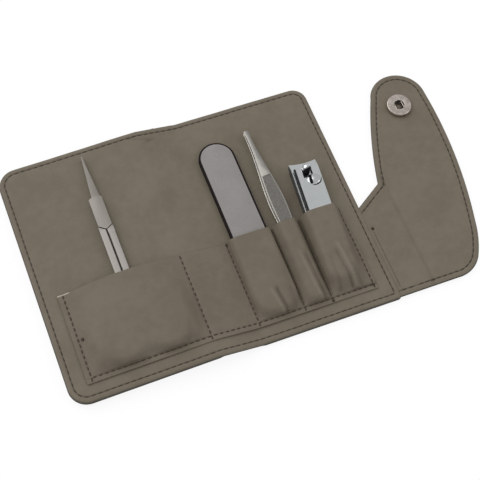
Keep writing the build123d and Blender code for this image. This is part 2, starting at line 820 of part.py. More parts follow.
def tweezers_half(side):
    """One sprung arm.  side is 1 for the upper arm and -1 for the lower."""

    def level(height):
        return tweezers_middle + side * height

    weld_end = tweezers_tail_y + tweezers_weld_length
    tip_inner = tweezers_tip_gap / 2
    with BuildPart() as arm:
        with BuildSketch(section_along(back, tweezers_x - tweezers_grip_width)):
            with BuildLine():
                Line((tweezers_tail_y, level(tweezers_arm)), (tweezers_tail_y, level(weld_gap)))
                Line((tweezers_tail_y, level(weld_gap)), (weld_end, level(weld_gap)))
                Spline(
                    (weld_end, level(weld_gap)),
                    (tweezers_grip_y, level(tweezers_bow)),
                    (tweezers_tip_y, level(tip_inner)),
                    tangents=((1, 0), (1, -side * tip_inner / tweezers_weld_length)),
                )
                Line(
                    (tweezers_tip_y, level(tip_inner)),
                    (tweezers_tip_y, level(tip_inner + tweezers_tip_thickness)),
                )
                Spline(
                    (tweezers_tip_y, level(tip_inner + tweezers_tip_thickness)),
                    (tweezers_grip_y, level(tweezers_bow + tweezers_arm)),
                    (weld_end, level(tweezers_arm)),
                    tangents=((-1, side * tip_inner / tweezers_weld_length), (-1, 0)),
                )
                Line((weld_end, level(tweezers_arm)), (tweezers_tail_y, level(tweezers_arm)))
            make_face()
        extrude(amount=2 * tweezers_grip_width)
        with BuildSketch(back) as plan:
            widths = (
                (tweezers_tail_y, tweezers_tail_width),
                (tweezers_mouth_y, tweezers_mouth_width),
                (tweezers_grip_y, tweezers_grip_width),
                (tweezers_shoulder_y, tweezers_shoulder_width),
                (tweezers_tip_y, tweezers_tip_width),
            )
            right_side = [(tweezers_x + width / 2, y) for y, width in widths]
            left_side = [(tweezers_x - width / 2, y) for y, width in reversed(widths)]
            with BuildLine():
                Spline(*right_side)
                Line(right_side[-1], left_side[0])
                Spline(*left_side)
                Line(left_side[-1], right_side[0])
            make_face()
            fillet(plan.vertices(), tweezers_corner_radius)
        extrude(amount=2 * tweezers_middle, mode=Mode.INTERSECT)
    return arm.part


finish(tweezers_half(1), "tweezers_upper_arm")
finish(tweezers_half(-1), "tweezers_lower_arm")


# ---------------------------------------------------------------- nail clippers
lean = radians(clippers_lean)
clippers = Plane(
    origin=back.from_local_coords((clippers_tail_x, clippers_tail_y, tool_base)),
    x_dir=(cos(lean), -sin(lean), 0),
    z_dir=(0, 0, 1),
)
lower_base = pin_head_height
jaw_start = clippers_length - clippers_jaw_bend
arm_slope = clippers_rise / (jaw_start - clippers_straight)
pin_place = clippers_length - pin_from_jaw


def upper_arm_top(place):
    """Height of the upper arm's top at a distance from the tail."""
    return lower_base + 2 * clippers_arm + arm_slope * (place - clippers_straight)


def clippers_plan(sheet, width, tail_width, start, end, taper, tail_radius):
    """Draw a strip that widens from its rounded tail."""
    with BuildLine() as strip:
        Polyline(
            (-tail_width / 2, start),
            (tail_width / 2, start),
            (width / 2, start + taper),
            (width / 2, end),
            (-width / 2, end),
            (-width / 2, start + taper),
            close=True,
        )
    make_face(strip.edges())
    fillet(sheet.vertices().group_by(Axis.Y)[0], tail_radius)


def clippers_jaw(profile, rivet_hole, name):
    """One arm: its side profile cut to the plan, with a hollow cutting edge and its holes."""
    hollow_radius = ((clippers_width / 2) ** 2 + jaw_hollow**2) / (2 * jaw_hollow)
    with BuildPart() as arm:
        with BuildSketch(section_along(clippers, -clippers_width)) as side_view:
            with BuildLine():
                Polyline(*profile, close=True)
            make_face()
            bends = [vertex for vertex in side_view.vertices() if abs(vertex.X - jaw_start) < seam_clearance]
            fillet(bends, clippers_bend_radius)
        extrude(amount=2 * clippers_width)
        with BuildSketch(clippers) as plan:
            clippers_plan(
                plan, clippers_width, clippers_tail_width, 0, clippers_length, clippers_taper, clippers_tail_radius
            )
            with Locations((0, clippers_length - jaw_hollow + hollow_radius)):
                Circle(hollow_radius, mode=Mode.SUBTRACT)
            with Locations((0, pin_place)):
                Circle(pin_radius + pin_hole_clearance, mode=Mode.SUBTRACT)
            with Locations((0, tail_rivet_place)):
                Circle(rivet_hole, mode=Mode.SUBTRACT)
        extrude(amount=clippers_length, mode=Mode.INTERSECT)
    finish(arm.part, name)


inner_low = lower_base + clippers_arm
inner_high = inner_low + weld_gap
jaw_low = inner_low + (clippers_rise - clippers_jaw_gap) / 2
jaw_high = jaw_low + clippers_jaw_gap
clippers_jaw(
    [
        (0, lower_base),
        (jaw_start, lower_base),
        (clippers_length, jaw_low - clippers_jaw_edge),
        (clippers_length, jaw_low),
        (jaw_start, inner_low),
        (0, inner_low),
    ],
    tail_rivet_radius,
    "clippers_lower_jaw",
)
clippers_jaw(
    [
        (0, inner_high),
        (clippers_straight, inner_high),
        (jaw_start, inner_low + clippers_rise),
        (clippers_length, jaw_high),
        (clippers_length, jaw_high + clippers_jaw_edge),
        (jaw_start, upper_arm_top(jaw_start)),
        (clippers_straight, upper_arm_top(clippers_straight)),
        (0, upper_arm_top(clippers_straight)),
    ],
    tail_rivet_radius + tail_rivet_clearance,
    "clippers_upper_jaw",
)

with BuildPart() as clippers_rivet:
    with BuildSketch(clippers.offset(lower_base)):
        with Locations((0, tail_rivet_place)):
            Circle(tail_rivet_radius)
    extrude(amount=2 * clippers_arm)
finish(clippers_rivet.part, "clippers_tail_rivet")

bar_place = pin_place + lever_bar_offset
bar_radius = lever_thickness / 2
bar_height = upper_arm_top(bar_place) + lever_gap + bar_radius
ball_height = bar_height + pin_ball_rise

with BuildPart() as clippers_pin:
    with BuildSketch(clippers):
        with Locations((0, pin_place)):
            Circle(pin_head_radius)
    extrude(amount=pin_head_height - pin_head_clearance)
    with BuildSketch(clippers):
        with Locations((0, pin_place)):
            Circle(pin_radius)
    extrude(amount=ball_height)
    ball = Location(clippers.from_local_coords((0, pin_place, ball_height)))
    with Locations(ball):
        Sphere(pin_ball_radius)
    with BuildSketch(section_along(clippers, -pin_head_radius)):
        with Locations((bar_place, bar_height)):
            Circle(bar_radius + lever_bar_clearance)
        with Locations((bar_place + pin_radius, bar_height)):
            Rectangle(2 * pin_radius, 2 * (bar_radius + lever_bar_clearance))
    extrude(amount=2 * pin_head_radius, mode=Mode.SUBTRACT)
finish(clippers_pin.part, "clippers_pin")

with BuildPart() as clippers_lever:
    lever_tail = bar_place - lever_length
    kick_start = lever_tail + lever_kick_length

    def lever_level(place, side):
        """Height of the lever's top or bottom at a distance from the clippers' tail."""
        lift = lever_kick if place < kick_start else 0
        return bar_height + arm_slope * (place - bar_place) + side * bar_radius + lift

    with BuildSketch(section_along(clippers, -lever_width)):
        with BuildLine():
            Polyline(
                (bar_place, lever_level(bar_place, 1)),
                (kick_start, lever_level(kick_start, 1)),
                (lever_tail, lever_level(lever_tail, 1)),
                (lever_tail, lever_level(lever_tail, -1)),
                (kick_start, lever_level(kick_start, -1)),
                (bar_place, lever_level(bar_place, -1)),
                close=True,
            )
        make_face()
    extrude(amount=2 * lever_width)
    with BuildSketch(clippers) as lever_plan:
        clippers_plan(
            lever_plan,
            lever_width,
            lever_tail_width,
            lever_tail,
            bar_place,
            clippers_taper,
            lever_tail_radius,
        )
        with Locations((0, bar_place - lever_slot_length / 2)):
            Rectangle(lever_slot_width, lever_slot_length, mode=Mode.SUBTRACT)
    extrude(amount=clippers_length, mode=Mode.INTERSECT)
    with BuildSketch(section_along(clippers, -lever_width / 2)):
        with Locations((bar_place, bar_height)):
            Circle(bar_radius)
    extrude(amount=lever_width)
    ridge_place = bar_place - lever_ridge_offset
    with BuildSketch(section_along(clippers, -lever_ridge_width / 2)):
        with Locations((ridge_place, lever_level(ridge_place, 1) + lever_ridge_rise - lever_ridge_radius / 2)):
            Circle(lever_ridge_radius)
        with Locations((ridge_place, lever_level(ridge_place, 0) - lever_ridge_radius)):
            Rectangle(4 * lever_ridge_radius, 2 * lever_ridge_radius, mode=Mode.SUBTRACT)
    extrude(amount=lever_ridge_width)
finish(clippers_lever.part, "clippers_lever")
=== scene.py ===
# %% [markdown]
# # A manicure set in a soft folding case
# The real object is a small leather wallet lying open: two boarded halves, a soft spine between
# them, a strip of leather sewn into four pockets, a closing flap with a press-stud, and four
# steel tools. Boards and steel keep the measured shapes. Leather is what a measured solid shows
# worst, so every sheet of it is made again here, at the same size and in the same place.

# %% Load the measured frame
import math

import bmesh
import bpy
import numpy as np
from mathutils import Matrix, Vector
from mathutils.geometry import delaunay_2d_cdt


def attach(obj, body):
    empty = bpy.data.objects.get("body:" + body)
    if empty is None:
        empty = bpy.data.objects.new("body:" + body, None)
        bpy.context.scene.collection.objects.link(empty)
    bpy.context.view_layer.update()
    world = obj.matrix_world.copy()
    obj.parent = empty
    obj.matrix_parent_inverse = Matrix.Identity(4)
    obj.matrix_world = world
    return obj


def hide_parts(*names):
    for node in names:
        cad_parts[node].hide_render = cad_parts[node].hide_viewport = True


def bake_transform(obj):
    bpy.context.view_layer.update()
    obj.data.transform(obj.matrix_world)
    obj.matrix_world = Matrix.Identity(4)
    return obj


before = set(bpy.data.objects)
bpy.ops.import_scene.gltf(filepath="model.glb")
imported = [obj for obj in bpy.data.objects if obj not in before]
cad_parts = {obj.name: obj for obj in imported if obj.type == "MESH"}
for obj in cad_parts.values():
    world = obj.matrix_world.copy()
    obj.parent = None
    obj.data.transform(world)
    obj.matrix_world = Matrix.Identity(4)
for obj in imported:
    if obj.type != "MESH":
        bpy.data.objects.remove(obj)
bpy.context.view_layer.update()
MM = 0.001

# %% [markdown]
# ## Where a sheet of leather lies
# A leather worker cuts flat pieces and sews them over the folds. The same is done here: a sheet
# is drawn flat, as u along the case and y up it, and one function lays any point of it on the
# opened case. u is 0 at the back half's fold and -18 mm at the front half's. Height is measured
# from the underside of the board, square to the surface, so a sheet stays parallel to the case.

# %% Lay flat points on the opened case
panel_top = 2.8
spine_width = 18.0
back_fold = -31.05
spine_slope = math.radians(-11.21)
front_slope = math.radians(2.12)
bend = 1.6
middle_u = -spine_width / 2


def ease(t):
    """A soft step from 0 to 1."""
    t = np.clip(t, 0, 1)
    return t * t * (3 - 2 * t)


def slope(u):
    """Slope of the opened case at u, bending softly at both folds."""
    past_front = ease((u + spine_width + bend) / (2 * bend))
    past_back = ease((u + bend) / (2 * bend))
    return front_slope * (1 - past_front) + spine_slope * past_front * (1 - past_back)


along_u = np.linspace(-90, 130, 8801)
step_u = along_u[1] - along_u[0]
leans = slope(along_u[:-1] + step_u / 2)
on_back_half = 5.0  # a place past the bend, where the run is tied to the frame
run_x = np.concatenate([[0], np.cumsum(np.cos(leans) * step_u)])
run_z = np.concatenate([[0], np.cumsum(np.sin(leans) * step_u)])
run_x += back_fold + on_back_half - np.interp(on_back_half, along_u, run_x)
run_z += panel_top - np.interp(on_back_half, along_u, run_z)


def lay(u, y, height):
    """Points of a sheet, in millimetres, laid on the case, in metres."""
    lean = slope(u)
    lift = height - panel_top
    x = np.interp(u, along_u, run_x) - lift * np.sin(lean)
    z = np.interp(u, along_u, run_z) + lift * np.cos(lean)
    return np.stack([x, y + 0 * u, z], axis=-1) * MM


def bend_ends(u, before, after, height):
    """Where a sheet starts and stops bending on either side of a fold at u."""
    return [lay(np.array(u + side), 0, height).tolist() for side in (-before, after)]


front_bend = bend_ends(-spine_width, bend, bend, panel_top)
back_bend = bend_ends(0, bend, bend, panel_top)
print("front bend from", front_bend[0], "to", front_bend[1])

# %% [markdown]
# ## Cutting a sheet
# An outline is a ring of points. Rings of points parallel to it follow the rolled edge and the
# stitched groove, and an even scatter fills the middle. A constrained triangulation joins them,
# as cutting along a drawn line does, and works for the ear of the flap as well as for a
# rectangle. A grid primitive would do for the rectangles alone.

# %% Outlines, distances and cutting
def arc(centre, radius, start, end, step):
    """Points on an arc, with its angles in degrees."""
    count = max(3, math.ceil(abs(math.radians(end - start)) * radius / step))
    turn = np.radians(np.linspace(start, end, count + 1))
    return np.stack([centre[0] + radius * np.cos(turn), centre[1] + radius * np.sin(turn)], axis=-1)


def arc_through(a, b, c, step):
    """Points on the arc from a to c through b."""
    (ax, ay), (bx, by), (cx, cy) = a, b, c
    d = 2 * (ax * (by - cy) + bx * (cy - ay) + cx * (ay - by))
    sa, sb, sc = ax * ax + ay * ay, bx * bx + by * by, cx * cx + cy * cy
    x = (sa * (by - cy) + sb * (cy - ay) + sc * (ay - by)) / d
    y = (sa * (cx - bx) + sb * (ax - cx) + sc * (bx - ax)) / d
    first, last = (math.degrees(math.atan2(q - y, p - x)) for p, q in (a, c))
    turning = (bx - ax) * (cy - by) - (by - ay) * (cx - bx)
    if turning > 0:
        last = first + (last - first) % 360
    else:
        last = first - (first - last) % 360
    return arc((x, y), math.dist((x, y), a), first, last, step)


def join_lines(parts, step):
    """One closed outline from arcs and corner points, with straight runs filled in."""
    points = np.concatenate([np.atleast_2d(part) for part in parts])
    filled = []
    for here, there in zip(points, np.roll(points, -1, axis=0)):
        gap = math.dist(here, there)
        if gap < 1e-6:
            continue
        count = max(1, math.ceil(gap / step))
        filled.extend(here + (there - here) * k / count for k in range(count))
    return np.array(filled)


def panel_outline(left, right, low, high, radii):
    """A rectangle with rounded corners: lower left, lower right, upper right, upper left."""
    step = 0.8
    corners = [(left, low, 180), (right, low, 270), (right, high, 0), (left, high, 90)]
    parts = []
    for (x, y, start), radius in zip(corners, radii):
        if radius:
            centre = (x + math.copysign(radius, -x + (left + right) / 2), 0)
            centre = (centre[0], y + math.copysign(radius, -y + (low + high) / 2))
            parts.append(arc(centre, radius, start, start + 90, min(step, radius / 4)))
        else:
            parts.append((x, y))
    return join_lines(parts, step)


def inside(points, outline):
    """True for points within an outline, by counting crossings."""
    a, b = outline, np.roll(outline, -1, axis=0)
    crossed = np.zeros(len(points), int)
    for start, end in zip(a, b):
        between = (start[1] > points[:, 1]) != (end[1] > points[:, 1])
        if between.any():
            at = start[0] + (points[:, 1] - start[1]) * (end[0] - start[0]) / ((end[1] - start[1]) or 1e-12)
            crossed += between & (points[:, 0] < at)
    return crossed % 2 == 1


def on_open_line(points, open_at):
    """True for points on one of the open lines u = open_at."""
    found = np.zeros(len(points), bool)
    for line in open_at:
        found |= abs(points[:, 0] - line) < 1e-6
    return found


def edge_distance(points, outline, open_at=()):
    """Distance of points to an outline, leaving out its runs along the open lines u = open_at."""
    on_open = on_open_line(outline, open_at)
    keep = ~(on_open & np.roll(on_open, -1))
    start, end = outline[keep], np.roll(outline, -1, axis=0)[keep]
    run = (end - start)[None]
    handful = 4000  # points at a time, to spare memory
    nearest = np.empty(len(points))
    for first in range(0, len(points), handful):
        p = points[first : first + handful, None, :]
        t = np.clip(((p - start[None]) * run).sum(2) / (run * run).sum(2), 0, 1)
        away = start[None] + t[..., None] * run - p
        nearest[first : first + handful] = np.sqrt((away**2).sum(2)).min(1)
    return nearest


def inward(outline):
    """The inward direction at each point of an anticlockwise outline."""
    run = np.roll(outline, -1, axis=0) - np.roll(outline, 1, axis=0)
    side = np.stack([-run[:, 1], run[:, 0]], axis=-1)
    return side / np.linalg.norm(side, axis=1)[:, None]


# How far inside an edge the rings of points lie, and how far beside a crease its rows do.
rim_rings = (0.1, 0.24, 0.42, 0.65, 0.95, 1.3, 1.7, 2.1, 2.35, 2.55, 2.75, 3.0, 3.5)
beside_crease = (-0.75, -0.45, -0.25, -0.1, 0, 0.1, 0.25, 0.45, 0.75)
row_share = 0.866  # rows of even triangles lie this share of their spacing apart
crease_gap = 0.3  # least gap between the rows beside a crease and an edge


def beside_line(start, end, offsets=beside_crease, step=0.6):
    """Rows of points beside a straight crease, so that it can be narrow."""
    start, end = np.array(start, float), np.array(end, float)
    run = (end - start) / np.linalg.norm(end - start)
    places = np.arange(0, np.linalg.norm(end - start), step)
    side = np.array([run[1], -run[0]])
    return np.concatenate([start + places[:, None] * run + side * offset for offset in offsets])


def cut_sheet(outline, spacing, open_at=(), rings=rim_rings, creases=()):
    """Points and triangles of a flat sheet, and the distance of each point to its edge."""
    points = [outline]
    direction = inward(outline)
    closed = ~on_open_line(outline, open_at)
    for ring in rings:
        loop = (outline + direction * ring)[closed]
        points.append(loop[abs(edge_distance(loop, outline, open_at) - ring) < 0.02])
    low, high = outline.min(0), outline.max(0)
    rows = np.arange(low[1], high[1], spacing * row_share)
    fill = []
    for index, row in enumerate(rows):
        columns = np.arange(low[0] + (index % 2) * spacing / 2, high[0], spacing)
        fill.append(np.stack([columns, np.full(len(columns), row)], axis=-1))
    fill = np.concatenate(fill)
    fill = fill[edge_distance(fill, outline, open_at) > rings[-1] + spacing * 0.6]
    for line in open_at:
        fill = fill[abs(fill[:, 0] - line) > spacing * 0.4]
    for crease in creases:
        rows = beside_line(*crease)
        rows = rows[inside(rows, outline)]
        rows = rows[edge_distance(rows, outline, open_at) > rings[-1] + crease_gap]
        for line in open_at:
            rows = rows[abs(rows[:, 0] - line) > crease_gap]
        if len(rows):
            near = np.array([abs(rows - point).sum(1).min() for point in fill])
            fill = np.concatenate([fill[near > spacing * 0.5], rows])
    points.append(fill)
    flat = [Vector(p) for p in np.concatenate(points)]
    count = len(outline)
    edges = [(k, (k + 1) % count) for k in range(count)]
    made = delaunay_2d_cdt(flat, edges, [], 1, 1e-5)
    corners = np.array([tuple(v) for v in made[0]])
    faces = [tuple(f) for f in made[2]]
    return corners, faces, edge_distance(corners, outline, open_at)


def note(piece, name, values, on="POINT"):
    """Write a number on each point or face of a piece, for its finish to use."""
    piece.data.attributes.new(name, "FLOAT", on).data.foreach_set("value", np.asarray(values, np.float32))


def new_piece(name, points, faces, crease=None):
    """A piece from laid points in metres, with an optional crease value at each point."""
    mesh = bpy.data.meshes.new(name)
    mesh.from_pydata([tuple(p) for p in points], [], faces)
    mesh.update()
    piece = bpy.data.objects.new(name, mesh)
    bpy.context.scene.collection.objects.link(piece)
    if crease is not None:
        note(piece, "crease", crease)
    return piece


def pick(piece):
    """Select one piece alone and make it active."""
    bpy.ops.object.select_all(action="DESELECT")
    piece.select_set(True)
    bpy.context.view_layer.objects.active = piece


def thicken(piece, thickness, rim_material=0):
    """Give a sheet its thickness on its under side."""
    pick(piece)
    wall = piece.modifiers.new("Thickness", "SOLIDIFY")
    wall.thickness = thickness * MM
    wall.offset = -1
    wall.thickness_clamp = 1
    wall.material_offset_rim = rim_material
    bpy.ops.object.modifier_apply(modifier=wall.name)


def smooth(piece, angle=50):
    """Shade a piece smooth, except over edges sharper than an angle."""
    pick(piece)
    bpy.ops.object.shade_smooth_by_angle(angle=math.radians(angle))


# %% [markdown]
# ## How the leather lies
# Soft leather over a board is never quite flat. It swells a little inside the edge, sinks where
# the thread pulls it down, and rolls off at its cut edge. Each of those is one small height, in
# millimetres, worked out from the distance to the edge, and they are simply added up. The crease
# value marks the sunken places, so that the finish can paint shade into them.

# %% Heights that every sheet shares
stitch_inset = 2.55  # from the outer cover's edge to the line of stitching
# Each slow wave: its height, how fast it turns along u and up y, and where it starts.
slow_waves = (
    (0.10, 0.105, 0.062, 0.4),
    (0.07, -0.055, 0.19, 1.7),
    (0.035, 0.31, 0.27, 2.2),
    (0.02, 0.83, -0.55, 0.0),
)
settled = 0.12  # how far the leather lies lower than a tight sheet, on average


def waves(u, y):
    """Slow unevenness of soft leather."""
    return sum(high * np.sin(in_u * u + in_y * y + start) for high, in_u, in_y, start in slow_waves) - settled


def roll_off(distance, radius):
    """How far an edge rolls down at a distance from it."""
    left = np.clip(radius - distance, 0, radius)
    return radius - np.sqrt(np.maximum(radius**2 - left**2, 0))


def groove(distance, width=0.34):
    """1 in the middle of a stitched groove, 0 away from it."""
    return np.exp(-((distance / width) ** 2))


def near_line(u, y, start, end, width):
    """1 along a straight soft fold, fading across it and towards its ends."""
    run_u, run_y = end[0] - start[0], end[1] - start[1]
    length = math.hypot(run_u, run_y)
    t = ((u - start[0]) * run_u + (y - start[1]) * run_y) / length**2
    off = ((u - start[0]) * run_y - (y - start[1]) * run_u) / length
    return np.exp(-((off / width) ** 2)) * ease(t * 4 + 0.5) * ease((1 - t) * 4 + 0.5)


# %% [markdown]
# ## The lining of both halves
# The lining covers the inside of each half and half of the spine. It is cut 0.4 mm inside the
# outer cover, its edge rolls down, and the line of stitching runs 2.55 mm in. The two sheets meet
# in the middle of the spine, because each bends over one fold and a piece can only follow one.

# %% Make the two linings
half_length = 62.1
front_edge = -spine_width - half_length
back_edge = half_length
case_half = 55.0
front_radius, foot_radius, top_radius = 8.0, 1.6, 6.5
lining_inset, lining_thickness = 0.4, 0.5
lining_sink = 0.16  # how far a seam or a valley lies below the lining
# The two valleys beside the hump at the spine's upper edge: start, end and width.
hump_valleys = (((-21.5, 52.0), (-12.0, 49.4), 0.8), ((-17.0, 47.5), (-9.0, 50.0), 0.9))


def half_outline(side, inset):
    """Outline of one half with its half of the spine. side is -1 for the front."""
    high = case_half - inset
    if side < 0:
        radii = (front_radius - inset, 0, 0, front_radius - inset)
        return panel_outline(front_edge + inset, middle_u, -high, high, radii)
    radii = (0, foot_radius - inset, top_radius - inset, 0)
    return panel_outline(middle_u, back_edge - inset, -high, high, radii)


def lining_height(u, y, distance):
    """Top of the lining, and how much painted shade its stitched groove and valleys get."""
    sewn = groove(distance + lining_inset - stitch_inset)
    valleys = sum(near_line(u, y, *valley) for valley in hump_valleys)
    height = panel_top + waves(u, y) - lining_sink * sewn - lining_sink * valleys
    height += 0.14 * np.exp(-(((distance - 1.2) / 0.7) ** 2))
    height -= roll_off(distance, lining_thickness)
    # The crease value is painted shade in the stitched groove and the two valleys.
    return height, np.clip(sewn + 0.5 * valleys, 0, 1)


linings = {}
for name, side in (("front_lining_sheet", -1), ("back_lining_sheet", 1)):
    outline = half_outline(side, lining_inset)
    flat, faces, distance = cut_sheet(outline, 1.1, (middle_u,))
    height, crease = lining_height(flat[:, 0], flat[:, 1], distance)
    linings[side] = new_piece(name, lay(flat[:, 0], flat[:, 1], height), faces, crease)
    thicken(linings[side], lining_thickness)
    smooth(linings[side])
    print(name, len(faces), "triangles before thickness")

# %% [markdown]
# ## The outer cover
# The outer leather lies under the boards and is turned up round them, which gives the case its
# rounded edge. The flat part is cut like the lining, and its edge loop is then drawn up in rings
# round a small radius and in over the board, where the lining hides it. At the spine there is no
# board, so the cover comes up close under the lining and the edge is thinner there. Rows of
# points run along both folds, so that the cover bends evenly when the case closes.

# %% Make a cover with its turned edge
turned_in = 2.6
cover_top, cover_thickness = 2.2, 0.6
spine_lift, lift_run = 1.3, 2.2
turn_rings = (0.1, 0.25, 0.5, 0.8, 1.1, 1.6, 2.4)
# Each loop of the turned edge: how far it has turned, in degrees, then its share of the way in.
turned_loops = ((25, 0), (50, 0), (72, 0), (90, 0), (90, 0.5), (90, 1))
across_fold = np.linspace(-1.8, 1.8, 9)
fold_rows = [((u, -60.0), (u, 60.0), across_fold, 1.2) for u in (-spine_width, 0.0)]


def cover_base(u):
    """Underside of the outer cover: on the table under the boards, higher in the spine."""
    at_front = ease((u + spine_width + 1.4) / lift_run)
    at_back = 1 - ease((u + 0.8) / lift_run)
    return spine_lift * at_front * at_back


def edge_room(outline, direction):
    """How far each edge point can move inwards before a tight corner would cross itself."""
    after = np.roll(outline, -1, axis=0) - outline
    turned = np.roll(direction, -1, axis=0) - direction
    closing = -(after * turned).sum(1) / np.maximum((after * after).sum(1), 1e-12)
    limit = np.where(closing > 1e-3, 0.9 / np.maximum(closing, 1e-3), 9.0)
    return np.maximum(np.minimum(limit, np.roll(limit, 1)), 0.2)


def turned_cover(name, outline, open_at, base, top, thickness, foot_shade=0.0):
    """A cover with its edge turned up to height top and in again, with painted shade on the lower side of its
    edge, deeper along its foot.
    """
    foot = base(outline[:, 0])
    radius = (top - foot) / 2
    flat, faces, distance = cut_sheet(outline, 1.6, open_at, turn_rings, fold_rows)
    under = base(flat[:, 0])
    points = [lay(flat[:, 0], flat[:, 1], under + roll_off(distance, (top - under) / 2))]
    # Painted shade near the edge underneath and up the lower side of the turned rim, kept as the crease
    # value.
    rim_painted_shade = [ease(1.4 - distance)]
    faces = [tuple(reversed(face)) for face in faces]
    direction = inward(outline)
    on_open = on_open_line(outline, open_at)
    direction[on_open, 0] = 0
    direction[np.linalg.norm(direction, axis=1) < 0.9] = 0
    room = edge_room(outline, direction)
    turned_runs = np.flatnonzero(~(on_open & np.roll(on_open, -1)))
    previous = [int(np.argmin(((flat - corner) ** 2).sum(1))) for corner in outline]
    count = len(flat)
    for turn, far in turned_loops:
        angle = math.radians(turn)
        inset = np.minimum(radius * (1 - math.cos(angle)) + far * (turned_in - radius), room)
        loop = outline + direction * inset[:, None]
        points.append(lay(loop[:, 0], loop[:, 1], foot + radius + radius * math.sin(angle)))
        rim_painted_shade.append((1 - turn / 90) * (1 + foot_shade * (direction[:, 1] > 0.7)))
        now = list(range(count, count + len(outline)))
        for k in turned_runs:
            after = (k + 1) % len(outline)
            faces.append((previous[k], now[k], now[after], previous[after]))
        previous = now
        count += len(outline)
    piece = new_piece(name, np.concatenate(points), faces, np.concatenate(rim_painted_shade))
    pick(piece)
    bpy.ops.object.mode_set(mode="EDIT")
    bpy.ops.mesh.select_all(action="SELECT")
    bpy.ops.mesh.delete_loose()
    bpy.ops.mesh.select_all(action="SELECT")
    bpy.ops.mesh.normals_make_consistent(inside=False)
    bpy.ops.object.mode_set(mode="OBJECT")
    low = min(piece.data.polygons, key=lambda face: face.center.z)
    if low.normal.z > 0:
        piece.data.flip_normals()
    thicken(piece, thickness)
    smooth(piece)
    return piece


covers = {}
for name, side in (("front_outer_leather", -1), ("back_outer_leather", 1)):
    outline = half_outline(side, 0)
    covers[side] = turned_cover(name, outline, (middle_u,), cover_base, cover_top, cover_thickness)
    print(name, len(covers[side].data.polygons), "faces")

# %% [markdown]
# ## The pocket strip
# One band of leather is sewn over the lining along its foot and at six upright seams. Between
# the seams it stands up over the tools. The height of a sheet stretched over something is close
# to the share of the way from the nearest seam to the thing below, so that share, softened, is
# the shape: 0 at a seam, 1 over the tool. Wrinkles are then pressed in where slack gathers. A
# cloth simulation gives such folds as well, but it can't be told where a real fold lies.

# %% Shapes of the tools under the strip, seen from above
strip_low = -47.9
strip_high = -7.9
strip_ends = (-spine_width - 54.0, 54.0)
foot_seam = -45.8
seams = (-spine_width - 51.7, -spine_width - 1.5, 1.5, 21.7, 34.0, 52.7)


def outside_ellipse(u, y, centre, half_u, half_y):
    """Distance outside an ellipse, near enough for draping."""
    reach = np.sqrt(((u - centre[0]) / half_u) ** 2 + ((y - centre[1]) / half_y) ** 2)
    return np.clip((reach - 1) * min(half_u, half_y), 0, None)


def outside_bar(u, y, low_point, high_point, low_half, high_half, end_radius=0.0):
    """Distance outside a tapering upright bar."""
    t = np.clip((y - low_point[1]) / (high_point[1] - low_point[1]), 0, 1)
    centre = low_point[0] + (high_point[0] - low_point[0]) * t
    half = low_half + (high_half - low_half) * t - end_radius
    across = np.clip(abs(u - centre) - half, 0, None)
    below = np.clip(low_point[1] + end_radius - y, 0, None)
    return np.clip(np.hypot(across, below) - end_radius, 0, None)


foot_pull = 1.15  # the leather rises this much faster from the foot seam than from the others
beside_seam = 0.3  # how far beside a seam the leather still lies flat


def drape(u, y, left, right, outside, margin):
    """0 at the seams round a pocket and 1 over the tool in it."""
    to_seam = np.minimum(np.minimum(u - left, right - u), foot_pull * (y - foot_seam)) - beside_seam
    to_seam = np.clip(to_seam, 0, None)
    to_tool = np.clip(outside - margin, 0, None)
    return to_seam / np.maximum(to_seam + to_tool, 1e-6)


def arch(u, left, right):
    """A round arch from seam to seam."""
    middle = (left + right) / 2
    return np.sqrt(np.clip(1 - ((u - middle) / (right - middle)) ** 2, 0, 1))


bar_margin = 0.9  # how far beside a tool the leather still lies at its full height


def scissors_bulge(u, y):
    """Leather over the two finger rings and, above them, the shanks."""
    middle, ring_side, ring_y, ring_half, ring_tall = -spine_width - 25.8, 8.95, -32.7, 8.7, 11.2
    left = outside_ellipse(u, y, (middle - ring_side, ring_y), ring_half, ring_tall)
    right = outside_ellipse(u, y, (middle + ring_side, ring_y), ring_half, ring_tall)
    shank = outside_bar(u, y, (middle, -24), (middle, 0), 3.1, 3.1)
    rings = drape(u, y, seams[0], seams[1], np.minimum(left, right), bar_margin)
    stem = drape(u, y, seams[0], seams[1], shank, 1.2)
    over_rings = (0.55 * ease(rings) + 0.45 * rings) * (1.0 - 0.22 * ease((y + 32) / 16))
    over_stem = (0.35 * ease(stem) + 0.65 * stem) * ease((y + 44) / 20)
    return 3.7 * (over_rings**3 + (0.95 * over_stem) ** 3) ** (1 / 3)


def file_bulge(u, y):
    """Leather over the nail file's flat blade and round end."""
    blade = outside_bar(u, y, (12.1, -43.8), (12.1, 30), 8.0, 8.0, 7.9)
    over = drape(u, y, seams[2], seams[3], blade, bar_margin)
    return 3.05 * (0.6 * ease(over) + 0.4 * over) + 0.75 * ease(over) * arch(u, seams[2], seams[3])


def tweezers_bulge(u, y):
    """Leather over the two sprung arms, lower towards the welded tail."""
    arms = outside_bar(u, y, (28.45, -43.9), (28.45, -8), 2.3, 3.0)
    over = drape(u, y, seams[3], seams[4], arms, bar_margin)
    top = 3.45 + 1.6 * ease((y + 44) / 30)
    return top * (0.45 * ease(over) + 0.55 * over)


def clippers_bulge(u, y):
    """Leather over the clippers, tallest at the mouth."""
    jaws = outside_bar(u, y, (41.2, -38.2), (43.7, -8), 4.9, 6.1, 2.5)
    over = drape(u, y, seams[4], seams[5], jaws, bar_margin)
    top = 5.2 + 1.4 * ease((y + 42) / 30)
    return top * (0.5 * ease(over) + 0.5 * over) + 0.25 * ease(over) * arch(u, seams[4], seams[5])


